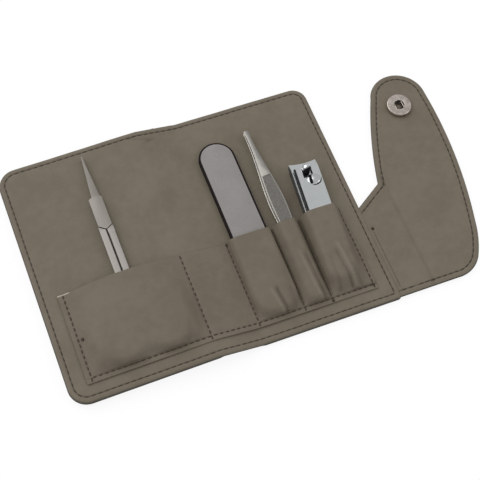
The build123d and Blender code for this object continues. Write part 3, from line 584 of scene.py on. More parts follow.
# Single folds: start, end, width and height of each, in millimetres.
folds = (
    ((-43.8, -46.0), (-43.8, -35.0), 2.6, -0.25),
    ((-29.0, -45.5), (-25.5, -38.0), 1.6, -0.3),
    ((12.6, -46.5), (11.0, -35.0), 0.75, 0.5),
    ((14.3, -46.0), (13.2, -34.5), 0.9, -0.6),
    ((17.4, -45.5), (17.9, -36.0), 1.3, -0.3),
    ((18.9, -45.0), (19.4, -27.0), 1.0, -0.3),
    ((29.4, -46.0), (28.2, -24.0), 0.8, 0.44),
    ((31.2, -46.0), (30.5, -24.0), 0.9, -0.5),
    ((43.9, -45.5), (42.2, -27.0), 0.8, -0.38),
    ((45.6, -45.5), (44.0, -26.0), 0.9, 0.56),
    ((48.0, -45.5), (46.6, -31.0), 1.0, -0.24),
    ((38.4, -45.5), (39.2, -29.0), 1.1, -0.28),
)


def folded(u, y):
    """Height of all the single folds."""
    return sum(high * near_line(u, y, start, end, width) for start, end, width, high in folds)


# %% Make the two halves of the strip
strip_face = 0.7  # height of the strip's face over the lining's
strip_leather = 0.62  # thickness of the strip
strip_sink = 0.2  # how far a seam pulls the strip down
pockets = (
    (seams[0], seams[1], scissors_bulge),
    (seams[2], seams[3], file_bulge),
    (seams[3], seams[4], tweezers_bulge),
    (seams[4], seams[5], clippers_bulge),
)


def stations(low, high, step, close_to):
    """Even places from low to high, closer together near the seams."""
    count = math.ceil((high - low) / step)
    places = list(np.linspace(low, high, count + 1))
    for centre in close_to:
        places += [centre + shift for shift in (-0.75, -0.5, -0.25, 0, 0.25, 0.5, 0.75)]
    places += [low + 0.08, low + 0.2, high - 0.08, high - 0.2]
    places = sorted(p for p in places if low <= p <= high)
    kept = [places[0]]
    for place in places[1:]:
        if place - kept[-1] > 0.07:
            kept.append(place)
    kept[-1] = high
    return np.array(kept)


def strip_bulge(u, y):
    """Height of the tools' bulges, and how near each place is to a seam, from 0 to 1."""
    bulge = np.zeros_like(u)
    for left, right, shape in pockets:
        in_pocket = (u > left) & (u < right) & (y > foot_seam)
        bulge = np.where(in_pocket, np.clip(shape(u, y), 0, None), bulge)
    seam_width = 0.36
    sewn = groove(y - foot_seam, seam_width)
    for seam in seams:
        sewn = np.maximum(sewn, groove(u - seam, seam_width))
    return bulge, sewn


def around(field):
    """The mean of the four places round each place of a grid."""
    wide = np.pad(field, 1, mode="edge")
    return (wide[:-2, 1:-1] + wide[2:, 1:-1] + wide[1:-1, :-2] + wide[1:-1, 2:]) / 4


def soften(field, pinned, passes):
    """Even a height field out, keeping its pinned places."""
    for _ in range(passes):
        field = np.where(pinned, field, 0.5 * field + 0.5 * around(field))
    return field


def strip_marks(u, y, sewn, pressed, hollow):
    """How much painted shade and how much paler tone the strip gets at each place."""
    # Painted shade along the foot seam at the right end, and low in the tweezers' and clippers' pockets near
    # the foot.
    right_foot_shade = near_line(u, y, (43.0, foot_seam + 0.2), (55.0, foot_seam + 0.2), 0.8)
    above_foot = ease((-35 - y) / 7) * ease((y - foot_seam + 0.5) / 2)
    pocket_foot_shade = above_foot * ease((u - 22) / 3) * (u < seams[5])
    # Painted shade in the seam grooves, in hollows and in the valleys of the folds.
    crease = 0.42 * sewn + 2.6 * np.clip(hollow, 0, 0.1) - 1.1 * np.clip(pressed, -0.6, 0)
    crease = np.clip(crease + 0.5 * right_foot_shade + 0.26 * pocket_foot_shade, 0, 1)
    # The second mark: paler along the mouth at the upper left corner, where the raw edge shows, and a painted
    # highlight on the ridges of the folds.
    raw_corner = (y > strip_high - 0.5) * ease((strip_ends[0] + 5.6 - u) / 1.2)
    return crease, raw_corner + 0.24 * np.clip(pressed, 0, 0.6)


def strip_waves(u, y):
    """Unevenness of the strip, shorter and lower than the lining's."""
    return 0.5 * waves(u * 1.7, y * 1.3)


def strip_half(name, left, right):
    """One half of the strip, from a grid whose rows are moved to their places."""
    spacing = 0.42
    us = stations(left, right, spacing, seams)
    ys = stations(strip_low, strip_high, spacing, (foot_seam,))
    bpy.ops.object.select_all(action="DESELECT")
    bpy.ops.mesh.primitive_grid_add(x_subdivisions=len(us) - 1, y_subdivisions=len(ys) - 1, size=2)
    piece = bpy.context.object
    piece.name = name
    start = np.array([v.co[:2] for v in piece.data.vertices])
    column = np.rint((start[:, 0] + 1) / 2 * (len(us) - 1)).astype(int)
    row = np.rint((start[:, 1] + 1) / 2 * (len(ys) - 1)).astype(int)
    grid_u, grid_y = np.meshgrid(us, ys)
    bulge, sewn = strip_bulge(grid_u, grid_y)
    bulge = soften(bulge, pinned=sewn > 0.9, passes=22)
    pressed = folded(grid_u, grid_y) * ease(bulge / 1.2)
    bulge = bulge + pressed
    ends = np.minimum(grid_u - strip_ends[0], strip_ends[1] - grid_u)
    edge = np.minimum(np.minimum(ends, grid_y - strip_low), strip_high - grid_y)
    height = panel_top + strip_face + bulge + strip_waves(grid_u, grid_y) - strip_sink * sewn
    height -= roll_off(edge, 0.25)
    crease, pale_edge_and_highlight = strip_marks(grid_u, grid_y, sewn, pressed, around(bulge) - bulge)
    places = lay(us[column], ys[row], height[row, column])
    piece.data.vertices.foreach_set("co", places.ravel())
    # The crease value is painted shade; the second mark is a paler raw edge and a painted highlight.
    note(piece, "crease", crease[row, column])
    note(piece, "pale_edge_and_highlight", pale_edge_and_highlight[row, column])
    piece.data.update()
    print(name, len(us), "by", len(ys), "points")
    return piece


strips = {
    -1: strip_half("front_pocket_strip", strip_ends[0], middle_u),
    1: strip_half("back_pocket_strip", middle_u, strip_ends[1]),
}

# %% [markdown]
# ## The closing flap
# The flap is an ear of two leathers sewn together. It comes out from under the back half's edge,
# folds up beside the closed case and then over it, and carries the socket half of the press-stud.
# Here it lies flat on the table. Its two folds turn on different joints, so both of its leathers
# are cut in two between them: a neck that bends at the first and a tongue at the second.

# %% Draw the flap
neck_reach = 4.6  # how far the flap runs in under the back half's edge
flap_root = back_edge - neck_reach
flap_split = back_edge + 7.9
crease_u = back_edge + 15.6
neck_tip, neck_at_edge = (12.6, -2.0), -10.1
neck_slope = (neck_tip[1] - neck_at_edge) / neck_tip[0]
neck_start = (-neck_reach, neck_at_edge - neck_reach * neck_slope)
steepness = 1.19  # how far the neck's upper edge drops for each millimetre that it is inset


def neck_top(u, inset):
    """Upper edge of the neck, a slanting line."""
    ends = [back_edge + neck_start[0], back_edge + neck_tip[0]]
    return np.interp(u, ends, [neck_start[1], neck_tip[1]]) - inset * steepness


def line_at(u, start, end, count):
    """Even points on a line straight up the case at u."""
    return np.stack([np.full(count, u), np.linspace(start, end, count)], axis=-1)


def flap_outline(inset, part):
    """Outline of the flap's neck or tongue, from the back half's edge outwards."""
    step, apart = 0.9, 0.2
    foot, toe, heel = (26.6, -54.4), (39.2, -47.9), (45.3, -32.4)
    tip_left, tip_right = (27.5, 38.9), (52.5, 34.6)
    rounds = (
        (foot, (34.2, -52.7), toe),
        (toe, (42.8, -40.6), heel),
        (heel, (51.4, 0.0), tip_right),
        (tip_right, (39.5, 47.8), tip_left),
        (tip_left, (18.4, 17.2), neck_tip),
    )
    arcs = [arc_through(*points, step)[min(k, 1) :] for k, points in enumerate(rounds)]
    whole = join_lines([(neck_start[0], foot[1]), *arcs, neck_start], step)
    if inset:
        moved = whole + inward(whole) * inset
        whole = moved[edge_distance(moved, whole) > inset * 0.97]
    whole = whole + np.array([back_edge, 0])
    low_y = whole[:, 1].min()
    seam = line_at(flap_split, low_y, neck_top(flap_split, inset), 61)
    if part == "tongue":
        kept = whole[whole[:, 0] > flap_split + apart]
        first = int(np.argmin(abs(kept - seam[0]).sum(1)))
        return np.concatenate([np.roll(kept, -first, axis=0), seam[::-1]])
    kept = whole[whole[:, 0] < flap_split - apart]
    middle_y = kept[:, 1].mean()
    root = whole[:, 0].min()
    kept = kept[kept[:, 0] > root + apart]
    upper = kept[kept[:, 1] > middle_y]
    lower = kept[kept[:, 1] <= middle_y]
    left = line_at(root, neck_top(root, inset), low_y, 51)
    return np.concatenate([seam, upper[np.argsort(-upper[:, 0])], left, lower[np.argsort(lower[:, 0])]])


def flap_open_at(part, inset=0.0):
    """The open lines of the neck or the tongue: the split and, for the neck, its hidden root."""
    return (flap_split, flap_root + inset) if part == "neck" else (flap_split,)


# %% Make the flap's two linings and covers
fold_line = (crease_u, -58.0), (crease_u - 0.6, 6.0)
root_crease = (back_edge + 1.3, -57.0), (back_edge + 1.15, -21.0)
snap_u, snap_y = back_edge + 37.6, 30.8
flap_face, flap_sink, flap_inset = 2.2, 0.14, 0.3
flap_base, flap_cover_top, flap_cover_thickness, flap_foot_shade = 0.9, 1.75, 0.35, 2.0


def flap_waves(u, y):
    """Unevenness of the flap, a little lower than the lining's."""
    return 0.8 * waves(u + 20, y + 9)


def flap_height(u, y, distance):
    """Top of the flap's lining, and how much painted shade its grooves and folds get."""
    sewn = groove(distance + flap_inset - stitch_inset)
    fold = near_line(u, y, *fold_line, 1.3)
    root_line = near_line(u, y, *root_crease, 0.3)
    height = flap_face + flap_waves(u, y) - flap_sink * sewn - 0.24 * fold - 0.15 * root_line
    height += 0.10 * np.exp(-(((distance - 1.1) / 0.6) ** 2))
    height -= roll_off(distance, 0.42)
    from_middle = np.hypot(u - snap_u, y - snap_y)
    pressed = ease((8.5 - from_middle) / 3.5)
    height = height * (1 - pressed) + (2.18 - 0.12 * groove(from_middle - 5.9, 0.5)) * pressed
    # Painted shade in the stitched groove, along the folds and in the ring pressed round the press-stud.
    crease = sewn + 0.45 * fold + 0.8 * root_line + 0.5 * groove(from_middle - 5.8, 0.6)
    return height, np.clip(crease, 0, 1)


def flap_underside(u):
    """Underside of the flap's cover, level and clear of the table."""
    return flap_base + 0 * u


flap_linings, flap_covers = {}, {}
for part in ("neck", "tongue"):
    outline = flap_outline(flap_inset, part)
    flat, faces, distance = cut_sheet(outline, 1.1, flap_open_at(part, flap_inset), creases=[root_crease])
    height, crease = flap_height(flat[:, 0], flat[:, 1], distance)
    laid = lay(flat[:, 0], flat[:, 1], height)
    flap_linings[part] = new_piece(f"flap_{part}_lining", laid, faces, crease)
    thicken(flap_linings[part], lining_thickness)
    smooth(flap_linings[part])
    flap_covers[part] = turned_cover(
        f"flap_{part}_outer_leather",
        flap_outline(0, part),
        flap_open_at(part),
        flap_underside,
        flap_cover_top,
        flap_cover_thickness,
        flap_foot_shade,
    )
    print(part, len(flap_linings[part].data.polygons), "lining faces")

# %% [markdown]
# ## Stitches
# A lock stitch shows as a short length of thread that dips into the leather at both ends. One
# stitch is modelled from a sphere: stretched, bent down at its ends, and kept to a few dozen
# faces. It is then laid again and again along each seam, a little unevenly, as a machine on soft
# leather does. All stitches of one seam are one piece, so that the seam bends with its leather.

# %% Model one stitch
thread_width = 0.52
bpy.ops.object.select_all(action="DESELECT")
bpy.ops.mesh.primitive_uv_sphere_add(segments=8, ring_count=6, radius=0.5)
one_stitch = bpy.context.object
one_stitch.name = "one_stitch"
bpy.ops.object.mode_set(mode="EDIT")
bpy.ops.mesh.select_all(action="SELECT")
bpy.ops.transform.rotate(value=math.pi / 2, orient_axis="Y", center_override=(0, 0, 0))
bpy.ops.transform.resize(value=(1, 1, 0.62))
bpy.ops.object.mode_set(mode="OBJECT")
stitch_points = np.array([v.co[:] for v in one_stitch.data.vertices])
stitch_points[:, 2] -= 0.9 * np.abs(stitch_points[:, 0]) ** 2.2
stitch_faces = [tuple(face.vertices) for face in one_stitch.data.polygons]
bpy.data.objects.remove(one_stitch)
print("one stitch:", len(stitch_faces), "faces")


# %% Lay stitches along a seam
def along(path, pitch):
    """Even places along a path, with the direction there."""
    run = np.diff(path, axis=0)
    length = np.hypot(run[:, 0], run[:, 1])
    far = np.concatenate([[0], np.cumsum(length)])
    count = max(1, round(far[-1] / pitch))
    places = (np.arange(count) + 0.5) * far[-1] / count
    index = np.clip(np.searchsorted(far, places, side="right") - 1, 0, len(run) - 1)
    share = (places - far[index]) / np.maximum(length[index], 1e-9)
    return path[index] + run[index] * share[:, None], run[index] / length[index][:, None]


def sew(name, seams_to_sew, height_at, pitch=2.75, length=2.25, knots=(), bold=1.0):
    """One piece of thread from seams drawn flat, lying on the height that height_at gives.

    Each knot is a thread's end: its u and y, its width and how far it lies above that height."""
    chance = np.random.default_rng(len(name) * 7 + 3)
    points = []
    for path in seams_to_sew:
        for centre, way in zip(*along(np.asarray(path, float), pitch)):
            size = length * (1 + chance.uniform(-0.07, 0.07))
            lean = chance.uniform(-0.05, 0.05)
            shift = chance.uniform(-0.06, 0.06)
            side = np.array([-way[1], way[0]])
            x = stitch_points[:, 0] * size
            y = stitch_points[:, 1] * thread_width * bold + lean * x + shift
            flat = centre + x[:, None] * way + y[:, None] * side
            lift = height_at(flat[:, 0], flat[:, 1]) + stitch_points[:, 2] * thread_width * 1.15 + 0.1
            points.append(lay(flat[:, 0], flat[:, 1], lift))
    for u, y, width, above in knots:
        ends = stitch_points * width
        lift = height_at(np.array(u), np.array(y)) + above + ends[:, 2]
        points.append(lay(u + ends[:, 0], y + ends[:, 1], lift))
    firsts = [k * len(stitch_points) for k in range(len(points))]
    faces = [tuple(first + corner for corner in face) for first in firsts for face in stitch_faces]
    piece = new_piece(name, np.concatenate(points), faces)
    pick(piece)
    bpy.ops.object.shade_smooth()
    print(name, len(points), "stitches")
    return piece


def inset_path(outline, inset, open_at):
    """The line of stitching at an inset inside an outline, from one open end to the other."""
    keep = ~on_open_line(outline, open_at)
    first = int(np.argmin(keep)) if not keep.all() else 0
    turned = np.roll(outline, -first, axis=0)
    keep = np.roll(keep, -first)
    loop = (turned + inward(turned) * inset)[keep]
    return loop[abs(edge_distance(loop, outline, open_at) - inset) < 0.06]


def panel_stitches(side):
    """The line of stitching round one half, reaching the middle of the spine."""
    outline = half_outline(side, 0)
    line = inset_path(outline, stitch_inset, (middle_u,))
    first_y = (stitch_inset - case_half) * side
    turn = np.arctan2(line[:, 1], line[:, 0] - middle_u)
    order = np.argsort(turn if side > 0 else turn % (2 * math.pi))
    return np.concatenate([[(middle_u, first_y)], line[order], [(middle_u, -first_y)]])


def lining_level(u, y):
    """Height of the stitched groove in the lining."""
    return panel_top - lining_sink + waves(u, y)


edge_thread = {
    -1: sew("front_edge_stitches", [panel_stitches(-1)], lining_level),
    1: sew("back_edge_stitches", [panel_stitches(1)], lining_level),
}


def upright(u):
    """A seam straight up the strip."""
    return [(u, strip_low + 0.2), (u, strip_high - 0.1)]


def across(left, right):
    """The strip's foot seam between two places."""
    return [(left, foot_seam), (right, foot_seam)]


def strip_level(u, y):
    """Height of the stitched grooves in the strip."""
    return panel_top + strip_face - strip_sink + strip_waves(u, y)


strip_sewing = {"pitch": 2.5, "length": 1.85, "bold": 1.4}
strip_thread = {
    -1: sew(
        "front_pocket_stitches",
        [across(seams[0], middle_u), upright(seams[0]), upright(seams[1])],
        strip_level,
        knots=[(-68.0, -29.5, 1.35, 1.15)],
        **strip_sewing,
    ),
    1: sew(
        "back_pocket_stitches",
        [across(middle_u, seams[5])] + [upright(seam) for seam in seams[2:]],
        strip_level,
        knots=[
            (seams[2], -8.6, 1.2, 0.4),
            (seams[4], -47.0, 1.2, 0.3),
            (seams[5] - 0.2, foot_seam, 1.25, 0.3),
        ],
        **strip_sewing,
    ),
}


def flap_stitches(part):
    """The flap's line of stitching on its neck or tongue."""
    line = inset_path(flap_outline(0, part), stitch_inset, flap_open_at(part))
    if part == "neck":
        line = line[line[:, 0] > back_edge + 0.3]
        high = line[line[:, 1] > -30]
        low = line[line[:, 1] <= -30]
        return [high[np.argsort(high[:, 0])], low[np.argsort(low[:, 0])]]
    gaps = np.hypot(*np.diff(line, axis=0).T)
    if gaps.max() > 5:
        line = np.roll(line, -(int(np.argmax(gaps)) + 1), axis=0)
    return [line]


def flap_level(u, y):
    """Height of the stitched groove in the flap."""
    return flap_face - flap_sink + flap_waves(u, y)


flap_thread = {
    part: sew(f"flap_{part}_stitches", flap_stitches(part), flap_level, knots=knots)
    for part, knots in (("neck", [(63.35, -21.6, 1.4, 0.35)]), ("tongue", []))
}

# %% [markdown]
# ## Steel with softened edges
# The measured tools have the right shapes and places, but a machine-made edge is never razor
# sharp, and its thin line of light is what makes steel look like steel. Each tool is copied, its
# loose triangles are joined, flat faces are merged again, and a small bevel rounds the edges.
# The copy stands for the measured node, and rides on the same body. A polished piece keeps each
# flat face evenly bright up to its bevel, and the others are shaded smooth over gentle edges.


# %% Copy a measured tool and soften its edges
def softened(node, name, body, slot, width, prepare=None):
    """A copy of a measured node with its loose triangles joined and its edges bevelled."""
    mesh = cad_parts[node].data.copy()
    mesh.materials.clear()
    piece = bpy.data.objects.new(name, mesh)
    bpy.context.scene.collection.objects.link(piece)
    pick(piece)
    if mesh.has_custom_normals:
        bpy.ops.mesh.customdata_custom_splitnormals_clear()
    bpy.ops.object.mode_set(mode="EDIT")
    bpy.ops.mesh.select_all(action="SELECT")
    bpy.ops.mesh.remove_doubles(threshold=2e-6)
    bpy.ops.mesh.dissolve_limited(angle_limit=math.radians(0.6))
    bpy.ops.object.mode_set(mode="OBJECT")
    if prepare:
        prepare(mesh)
    polished = slot == "chrome_steel"
    if polished:
        bpy.ops.object.shade_smooth()
    edge = piece.modifiers.new("Softened edge", "BEVEL")
    edge.harden_normals = polished
    edge.width = width * MM
    edge.segments = 2
    edge.limit_method = "ANGLE"
    edge.angle_limit = math.radians(35)
    edge.use_clamp_overlap = True
    bpy.ops.object.modifier_apply(modifier=edge.name)
    if not polished:
        bpy.ops.object.shade_smooth_by_angle(angle=math.radians(38))
    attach(piece, body)
    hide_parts(node)
    return piece


grip_top, grip_border = 15.2, 0.5
ridge_low, ridge_high = 2.9, 5.99
lever_face, lever_rise = 9.68, 0.0667  # height of the lever's face at y = 0, and its slope
lever_band, lever_slant = 8.6, 0.0753  # where the painted shadow band's edge crosses y = 0, and its lean


def cut_open(mesh, place, normal):
    """A mesh opened for editing, with a straight cut through all of it."""
    work = bmesh.new()
    work.from_mesh(mesh)
    everything = work.verts[:] + work.edges[:] + work.faces[:]
    bmesh.ops.bisect_plane(work, geom=everything, plane_co=place, plane_no=normal)
    return work


def mark_grip(mesh):
    """Draw the matt grip of the tweezers inside a border, on the faces that look up."""
    work = cut_open(mesh, (0, grip_top * MM, 0), (0, 1, 0))
    layer = work.faces.layers.float.new("grip")
    top = [f for f in work.faces if f.normal.z > 0.85 and f.calc_center_median().y < grip_top * MM]
    bmesh.ops.inset_region(work, faces=top, thickness=grip_border * MM, use_even_offset=True)
    for face in top:
        face[layer] = 1.0
    work.to_mesh(mesh)
    work.free()


def lower_ridge(mesh):
    """Bring the lever's straight ridge down to its face, where a domed one is put instead,
    and part off a narrow band along its left edge, which gets a painted shadow."""
    for point in mesh.vertices:
        face_height = (lever_face + lever_rise * point.co.y / MM) * MM
        if ridge_low * MM < point.co.y < ridge_high * MM and point.co.z > face_height:
            point.co.z = face_height
    work = cut_open(mesh, (lever_band * MM, 0, 0), (1, -lever_slant, 0))
    work.to_mesh(mesh)
    work.free()


steel, steel_slots = {}, {}
for node, name, body, slot, width, *prepare in (
    ("scissors_right_half", "scissors_right_arm", "scissors", "satin_steel", 0.12),
    ("scissors_left_half", "scissors_left_arm", "scissors_left", "satin_steel", 0.12),
    ("scissors_pivot_screw", "scissors_screw", "scissors", "satin_steel", 0.08),
    ("tweezers_upper_arm", "tweezers_top_arm", "tweezers_upper", "brushed_steel", 0.14, mark_grip),
    ("tweezers_lower_arm", "tweezers_under_arm", "tweezers", "brushed_steel", 0.14),
    ("clippers_lower_jaw", "clippers_under_jaw", "clippers", "chrome_steel", 0.1),
    ("clippers_upper_jaw", "clippers_top_jaw", "clippers_upper", "chrome_steel", 0.1),
    ("clippers_tail_rivet", "clippers_rivet", "clippers", "chrome_steel", 0.1),
    ("clippers_pin", "clippers_turning_pin", "clippers_pin", "chrome_steel", 0.05),
    ("clippers_lever", "clippers_folding_lever", "clippers_lever", "chrome_steel", 0.12, lower_ridge),
    ("file_core", "file_blade", "file", "file_core", 0.15),
    ("file_fine_abrasive", "file_fine_face", "file", "fine_abrasive", 0.05),
    ("file_coarse_abrasive", "file_coarse_face", "file", "coarse_abrasive", 0.05),
    ("snap_cap", "stud_cap", "flap", "snap_metal", 0.05),
    ("snap_socket", "stud_socket", "flap", "snap_metal", 0.22),
    ("snap_stud", "stud_post", "front_half", "snap_metal", 0.06),
):
    steel[name] = softened(node, name, body, slot, width, *prepare)
    steel_slots[name] = slot
print("softened pieces:", len(steel))

# %% [markdown]
# ## Shadows in polished steel
# Polished steel shows dark bands where it faces a dark room, and a plain white table offers none.
# So the faces that would catch the dark, or lie in shade in a hole or under a part, are marked with
# a number from 0 to 1, picked by where they look and where they lie, and the finish paints them
# dark by it. On the tweezers the same mark picks the left edges, which get a painted highlight.


# %% Mark the faces
def painted_light(name, rule):
    """Mark the faces of a steel piece for painted shade or a painted highlight, picked by a rule from their
    normals and centres.
    """
    faces = steel[name].data.polygons
    normal = np.array([face.normal[:] for face in faces])
    centre = np.array([face.center[:] for face in faces]) / MM
    note(steel[name], "painted_light", rule(normal, centre), "FACE")


snap_middle = (68.65, snap_y)


def from_snap(centre):
    """Distance from the middle of the press-stud."""
    return np.hypot(centre[:, 0] - snap_middle[0], centre[:, 1] - snap_middle[1])


# Painted dark reflections: a band along the lever's left edge, the top jaw's underside, most of the under
# jaw, and the ball's lower half.
painted_light(
    "clippers_folding_lever",
    lambda n, c: np.where((n[:, 2] > -0.1) & (c[:, 0] < lever_band + lever_slant * c[:, 1]), 0.97, 0),
)
painted_light("clippers_top_jaw", lambda n, c: np.where(n[:, 2] < -0.3, 0.95, 0))
painted_light("clippers_under_jaw", lambda n, c: np.where((n[:, 2] > 0.4) | (n[:, 0] < -0.45), 0.85, 0.2))
painted_light(
    "clippers_turning_pin",
    lambda n, c: ease(2.2 * (0.15 * n[:, 0] - 0.8 * n[:, 1] - 0.2 * n[:, 2]) + 0.45),
)
# Painted shade inside the press-stud's socket and cap.
painted_light("stud_socket", lambda n, c: np.where((from_snap(c) < 2.9) & (n[:, 2] < 0.8), 1.0, 0))
painted_light("stud_cap", lambda n, c: np.where((from_snap(c) < 3.0) & (c[:, 2] > 1.0), 0.9, 0))
# A painted highlight along the tweezers' left edges.
for name in ("tweezers_top_arm", "tweezers_under_arm"):
    painted_light(name, lambda n, c: np.where((n[:, 0] < -0.3) & (n[:, 2] > -0.2), 1.0, 0))
marked = [name for name, piece in steel.items() if "painted_light" in piece.data.attributes]
print("pieces with marked faces:", marked)

# %% [markdown]
# ## The lever's ridge and opening
# Below the pin the lever has a round, swollen ridge with a small opening in its top. Both are
# spheres pressed nearly flat, sunk in the lever's face so that only their tops show. The opening is
# a bead painted dark all over for the shade in it, and the ridge gets painted shadow on its lower right.


# %% Press two beads into the lever
def bead(name, centre, radii, turn=0.0):
    """A squashed sphere lying on a polished face, from its centre and radii in millimetres."""
    bpy.ops.object.select_all(action="DESELECT")
    bpy.ops.mesh.primitive_uv_sphere_add(segments=32, ring_count=20, radius=1)
    piece = bpy.context.object
    piece.name = name
    bpy.ops.transform.resize(value=tuple(radius * MM for radius in radii))
    bpy.ops.transform.rotate(value=turn, orient_axis="Z", center_override=(0, 0, 0))
    bpy.ops.transform.translate(value=tuple(place * MM for place in centre))
    bpy.ops.object.transform_apply(location=True, rotation=True, scale=True)
    bpy.ops.object.shade_smooth()
    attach(piece, "clippers_lever")
    steel[name], steel_slots[name] = piece, "chrome_steel"


bead("lever_ridge", (15.6, 5.25, 9.75), (3.3, 2.85, 0.95))
bead("lever_opening", (14.1, 5.25, 10.32), (0.95, 2.0, 0.36), math.radians(12))
# Painted shadow on the ridge's lower right; the opening bead is painted dark as the shade in the hole.
painted_light("lever_ridge", lambda n, c: np.where(n[:, 0] * 0.6 - n[:, 1] * 0.8 > 0.36, 0.95, 0.12))
painted_light("lever_opening", lambda n, c: np.ones(len(n)))
print("beads on the lever:", [name for name in steel if name.startswith("lever")])

# %% [markdown]
# ## The line where the scissors cross
# Where one half of the scissors lies over the other, a short slanting line shows between them.
# The gap is too thin to catch a shadow, so a narrow dark strip of painted shadow is laid along it,
# just over the steel.

# %% Lay the crossing line
line_start, line_end = np.array([-74.45, 12.8]), np.array([-71.75, 14.3])
line_width, line_thickness, line_steps = 0.34, 0.08, 8
steel_height, steel_lean, level_x = 8.33, 0.035, -74.0
line_way = (line_end - line_start) / np.linalg.norm(line_end - line_start)
line_side = np.array([-line_way[1], line_way[0]]) * line_width / 2
line_points = []
for share in np.linspace(0, 1, line_steps + 1):
    for side in (-1, 1):
        x, y = line_start + (line_end - line_start) * share + side * line_side
        line_points.append((x * MM, y * MM, (steel_height + steel_lean * (x - level_x)) * MM))
line_faces = [(2 * k, 2 * k + 2, 2 * k + 3, 2 * k + 1) for k in range(line_steps)]
crossing = new_piece("scissors_crossing_shadow", line_points, line_faces)
thicken(crossing, line_thickness)
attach(crossing, "scissors")
print("crossing line from", line_points[0], "to", line_points[-1])

# %% [markdown]
# ## Colour and light in numbers
# Colours are noted as they look on a screen, 0 to 255, and turned into the plain light values
# that a shader works with. Materials are built by a small helper: arithmetic on a node's output
# adds the Math nodes for it, so a pattern reads like a formula.


# %% A helper that builds materials from formulas
def colour(red, green, blue):
    """Screen values 0 to 255 as a shader colour."""
    linear = []
    for value in (red, green, blue):
        share = value / 255
        linear.append(share / 12.92 if share <= 0.04045 else ((share + 0.055) / 1.055) ** 2.4)
    return (*linear, 1.0)


class Flow:
    """One output socket. Sums on it add Math nodes."""

    def __init__(self, finish, socket):
        self.finish, self.socket = finish, socket

    def sum(self, operation, first, second):
        """One Math node."""
        return self.finish.node("ShaderNodeMath", {"operation": operation}, {0: first, 1: second})

    def __add__(self, other):
        return self.sum("ADD", self, other)

    __radd__ = __add__

    def __mul__(self, other):
        return self.sum("MULTIPLY", self, other)

    __rmul__ = __mul__

    def __rsub__(self, other):
        return self.sum("SUBTRACT", other, self)

    def between(self, low, high):
        """0 below low, 1 above high, soft between them."""
        soft_step = {"interpolation_type": "SMOOTHSTEP"}
        return self.finish.node("ShaderNodeMapRange", soft_step, {0: self, 1: low, 2: high})


class Finish:
    """A material on the Principled shader."""

    def __init__(self, name, **constants):
        self.material = bpy.data.materials.new(name)
        self.material.use_nodes = True
        self.tree = self.material.node_tree
        self.shader = self.tree.nodes["Principled BSDF"]
        for socket, value in constants.items():
            self.set(socket.replace("_", " "), value)
        self.place = self.node("ShaderNodeTexCoord", {}, {}, "Object")

    def node(self, kind, settings, sockets, output=0):
        """Add a node: its settings first, then its values and links."""
        made = self.tree.nodes.new(kind)
        for setting, value in settings.items():
            setattr(made, setting, value)
        for socket, value in sockets.items():
            self.feed(made.inputs[socket], value)
        return Flow(self, made.outputs[output])

    def feed(self, socket, value):
        """Give a socket a constant or a pattern."""
        if isinstance(value, Flow):
            self.tree.links.new(value.socket, socket)
        else:
            socket.default_value = value

    def set(self, name, value):
        """Give one of the shader's own sockets a constant or a pattern."""
        self.feed(self.shader.inputs[name], value)

    def mark(self, name):
        """The numbers that were noted on the piece under a name."""
        return self.node("ShaderNodeAttribute", {"attribute_name": name}, {}, "Fac")

    def noise(self, scale, detail=3.0, roughness=0.5, place=None):
        """Cloudy noise from 0 to 1."""
        values = {"Vector": place or self.place, "Scale": scale, "Detail": detail, "Roughness": roughness}
        return self.node("ShaderNodeTexNoise", {}, values)

    def stretched(self, x, y, z):
        """The place, squeezed along each axis, for brushed patterns."""
        return self.node("ShaderNodeMapping", {}, {"Vector": self.place, "Scale": (x, y, z)})

    def mix(self, share, first, second):
        """A colour between two colours."""
        return self.node("ShaderNodeMix", {"data_type": "RGBA"}, {0: share, 6: first, 7: second}, 2)

    def bump(self, height, strength, distance):
        """Relief from a height pattern, in millimetres."""
        values = {"Height": height, "Strength": strength, "Distance": distance * MM}
        self.set("Normal", self.node("ShaderNodeBump", {}, values))

    def on(self, *pieces):
        """Put the finish on pieces."""
        for piece in pieces:
            piece.data.materials.clear()
            piece.data.materials.append(self.material)


# %% [markdown]
# ## Leather
# The leather is a matt taupe. Up close it has fine pebbled grain and pores, and further off it is
# slightly uneven in tone. Shade is painted in where thread or a fold presses it down, and a painted
# highlight and a paler raw edge are laid on by a second mark. A pattern's scale is the number of its
# cells in a metre, because the object's coordinates are in metres.


# %% Leather finishes
pale_edge_and_highlight_tone = colour(186, 177, 160)


def leather(name, tones, crease_shade, grain=0.8, painted_shade_tone=colour(58, 50, 41)):
    """Grained leather of a base, a darker and a lighter tone, with painted shade in its creases."""
    base, dark, light = tones
    finish = Finish(name, Roughness=0.62, Specular_IOR_Level=0.32)
    crease = finish.mark("crease")
    cloud = finish.noise(55, 4, 0.6)
    patch = finish.noise(300, 4, 0.55)
    grain_cells = {"Vector": finish.place, "Scale": 1500.0, "Smoothness": 0.6}
    pebble = finish.node("ShaderNodeTexVoronoi", {"feature": "SMOOTH_F1"}, grain_cells)
    pores = finish.noise(4200, 2, 0.6)
    tone = finish.mix((cloud * 0.6 + patch * 0.4).between(0.35, 0.65), dark, light)
    tone = finish.mix(0.35, tone, base)
    tone = finish.mix((1 - pebble).between(0.2, 0.75) * 0.16, tone, dark)
    # Painted shade where the crease value is high.
    tone = finish.mix(crease.between(0.12, 1.0) * crease_shade, tone, painted_shade_tone)
    # A paler raw edge and painted highlights where the second mark is high.
    tone = finish.mix(finish.mark("pale_edge_and_highlight") * 0.9, tone, pale_edge_and_highlight_tone)
    finish.set("Base Color", tone)
    finish.set("Roughness", 0.56 + 0.14 * patch)
    finish.bump(pebble * 0.7 + pores * 0.3 + patch * 0.5, 0.30 * grain, 0.12)
    return finish


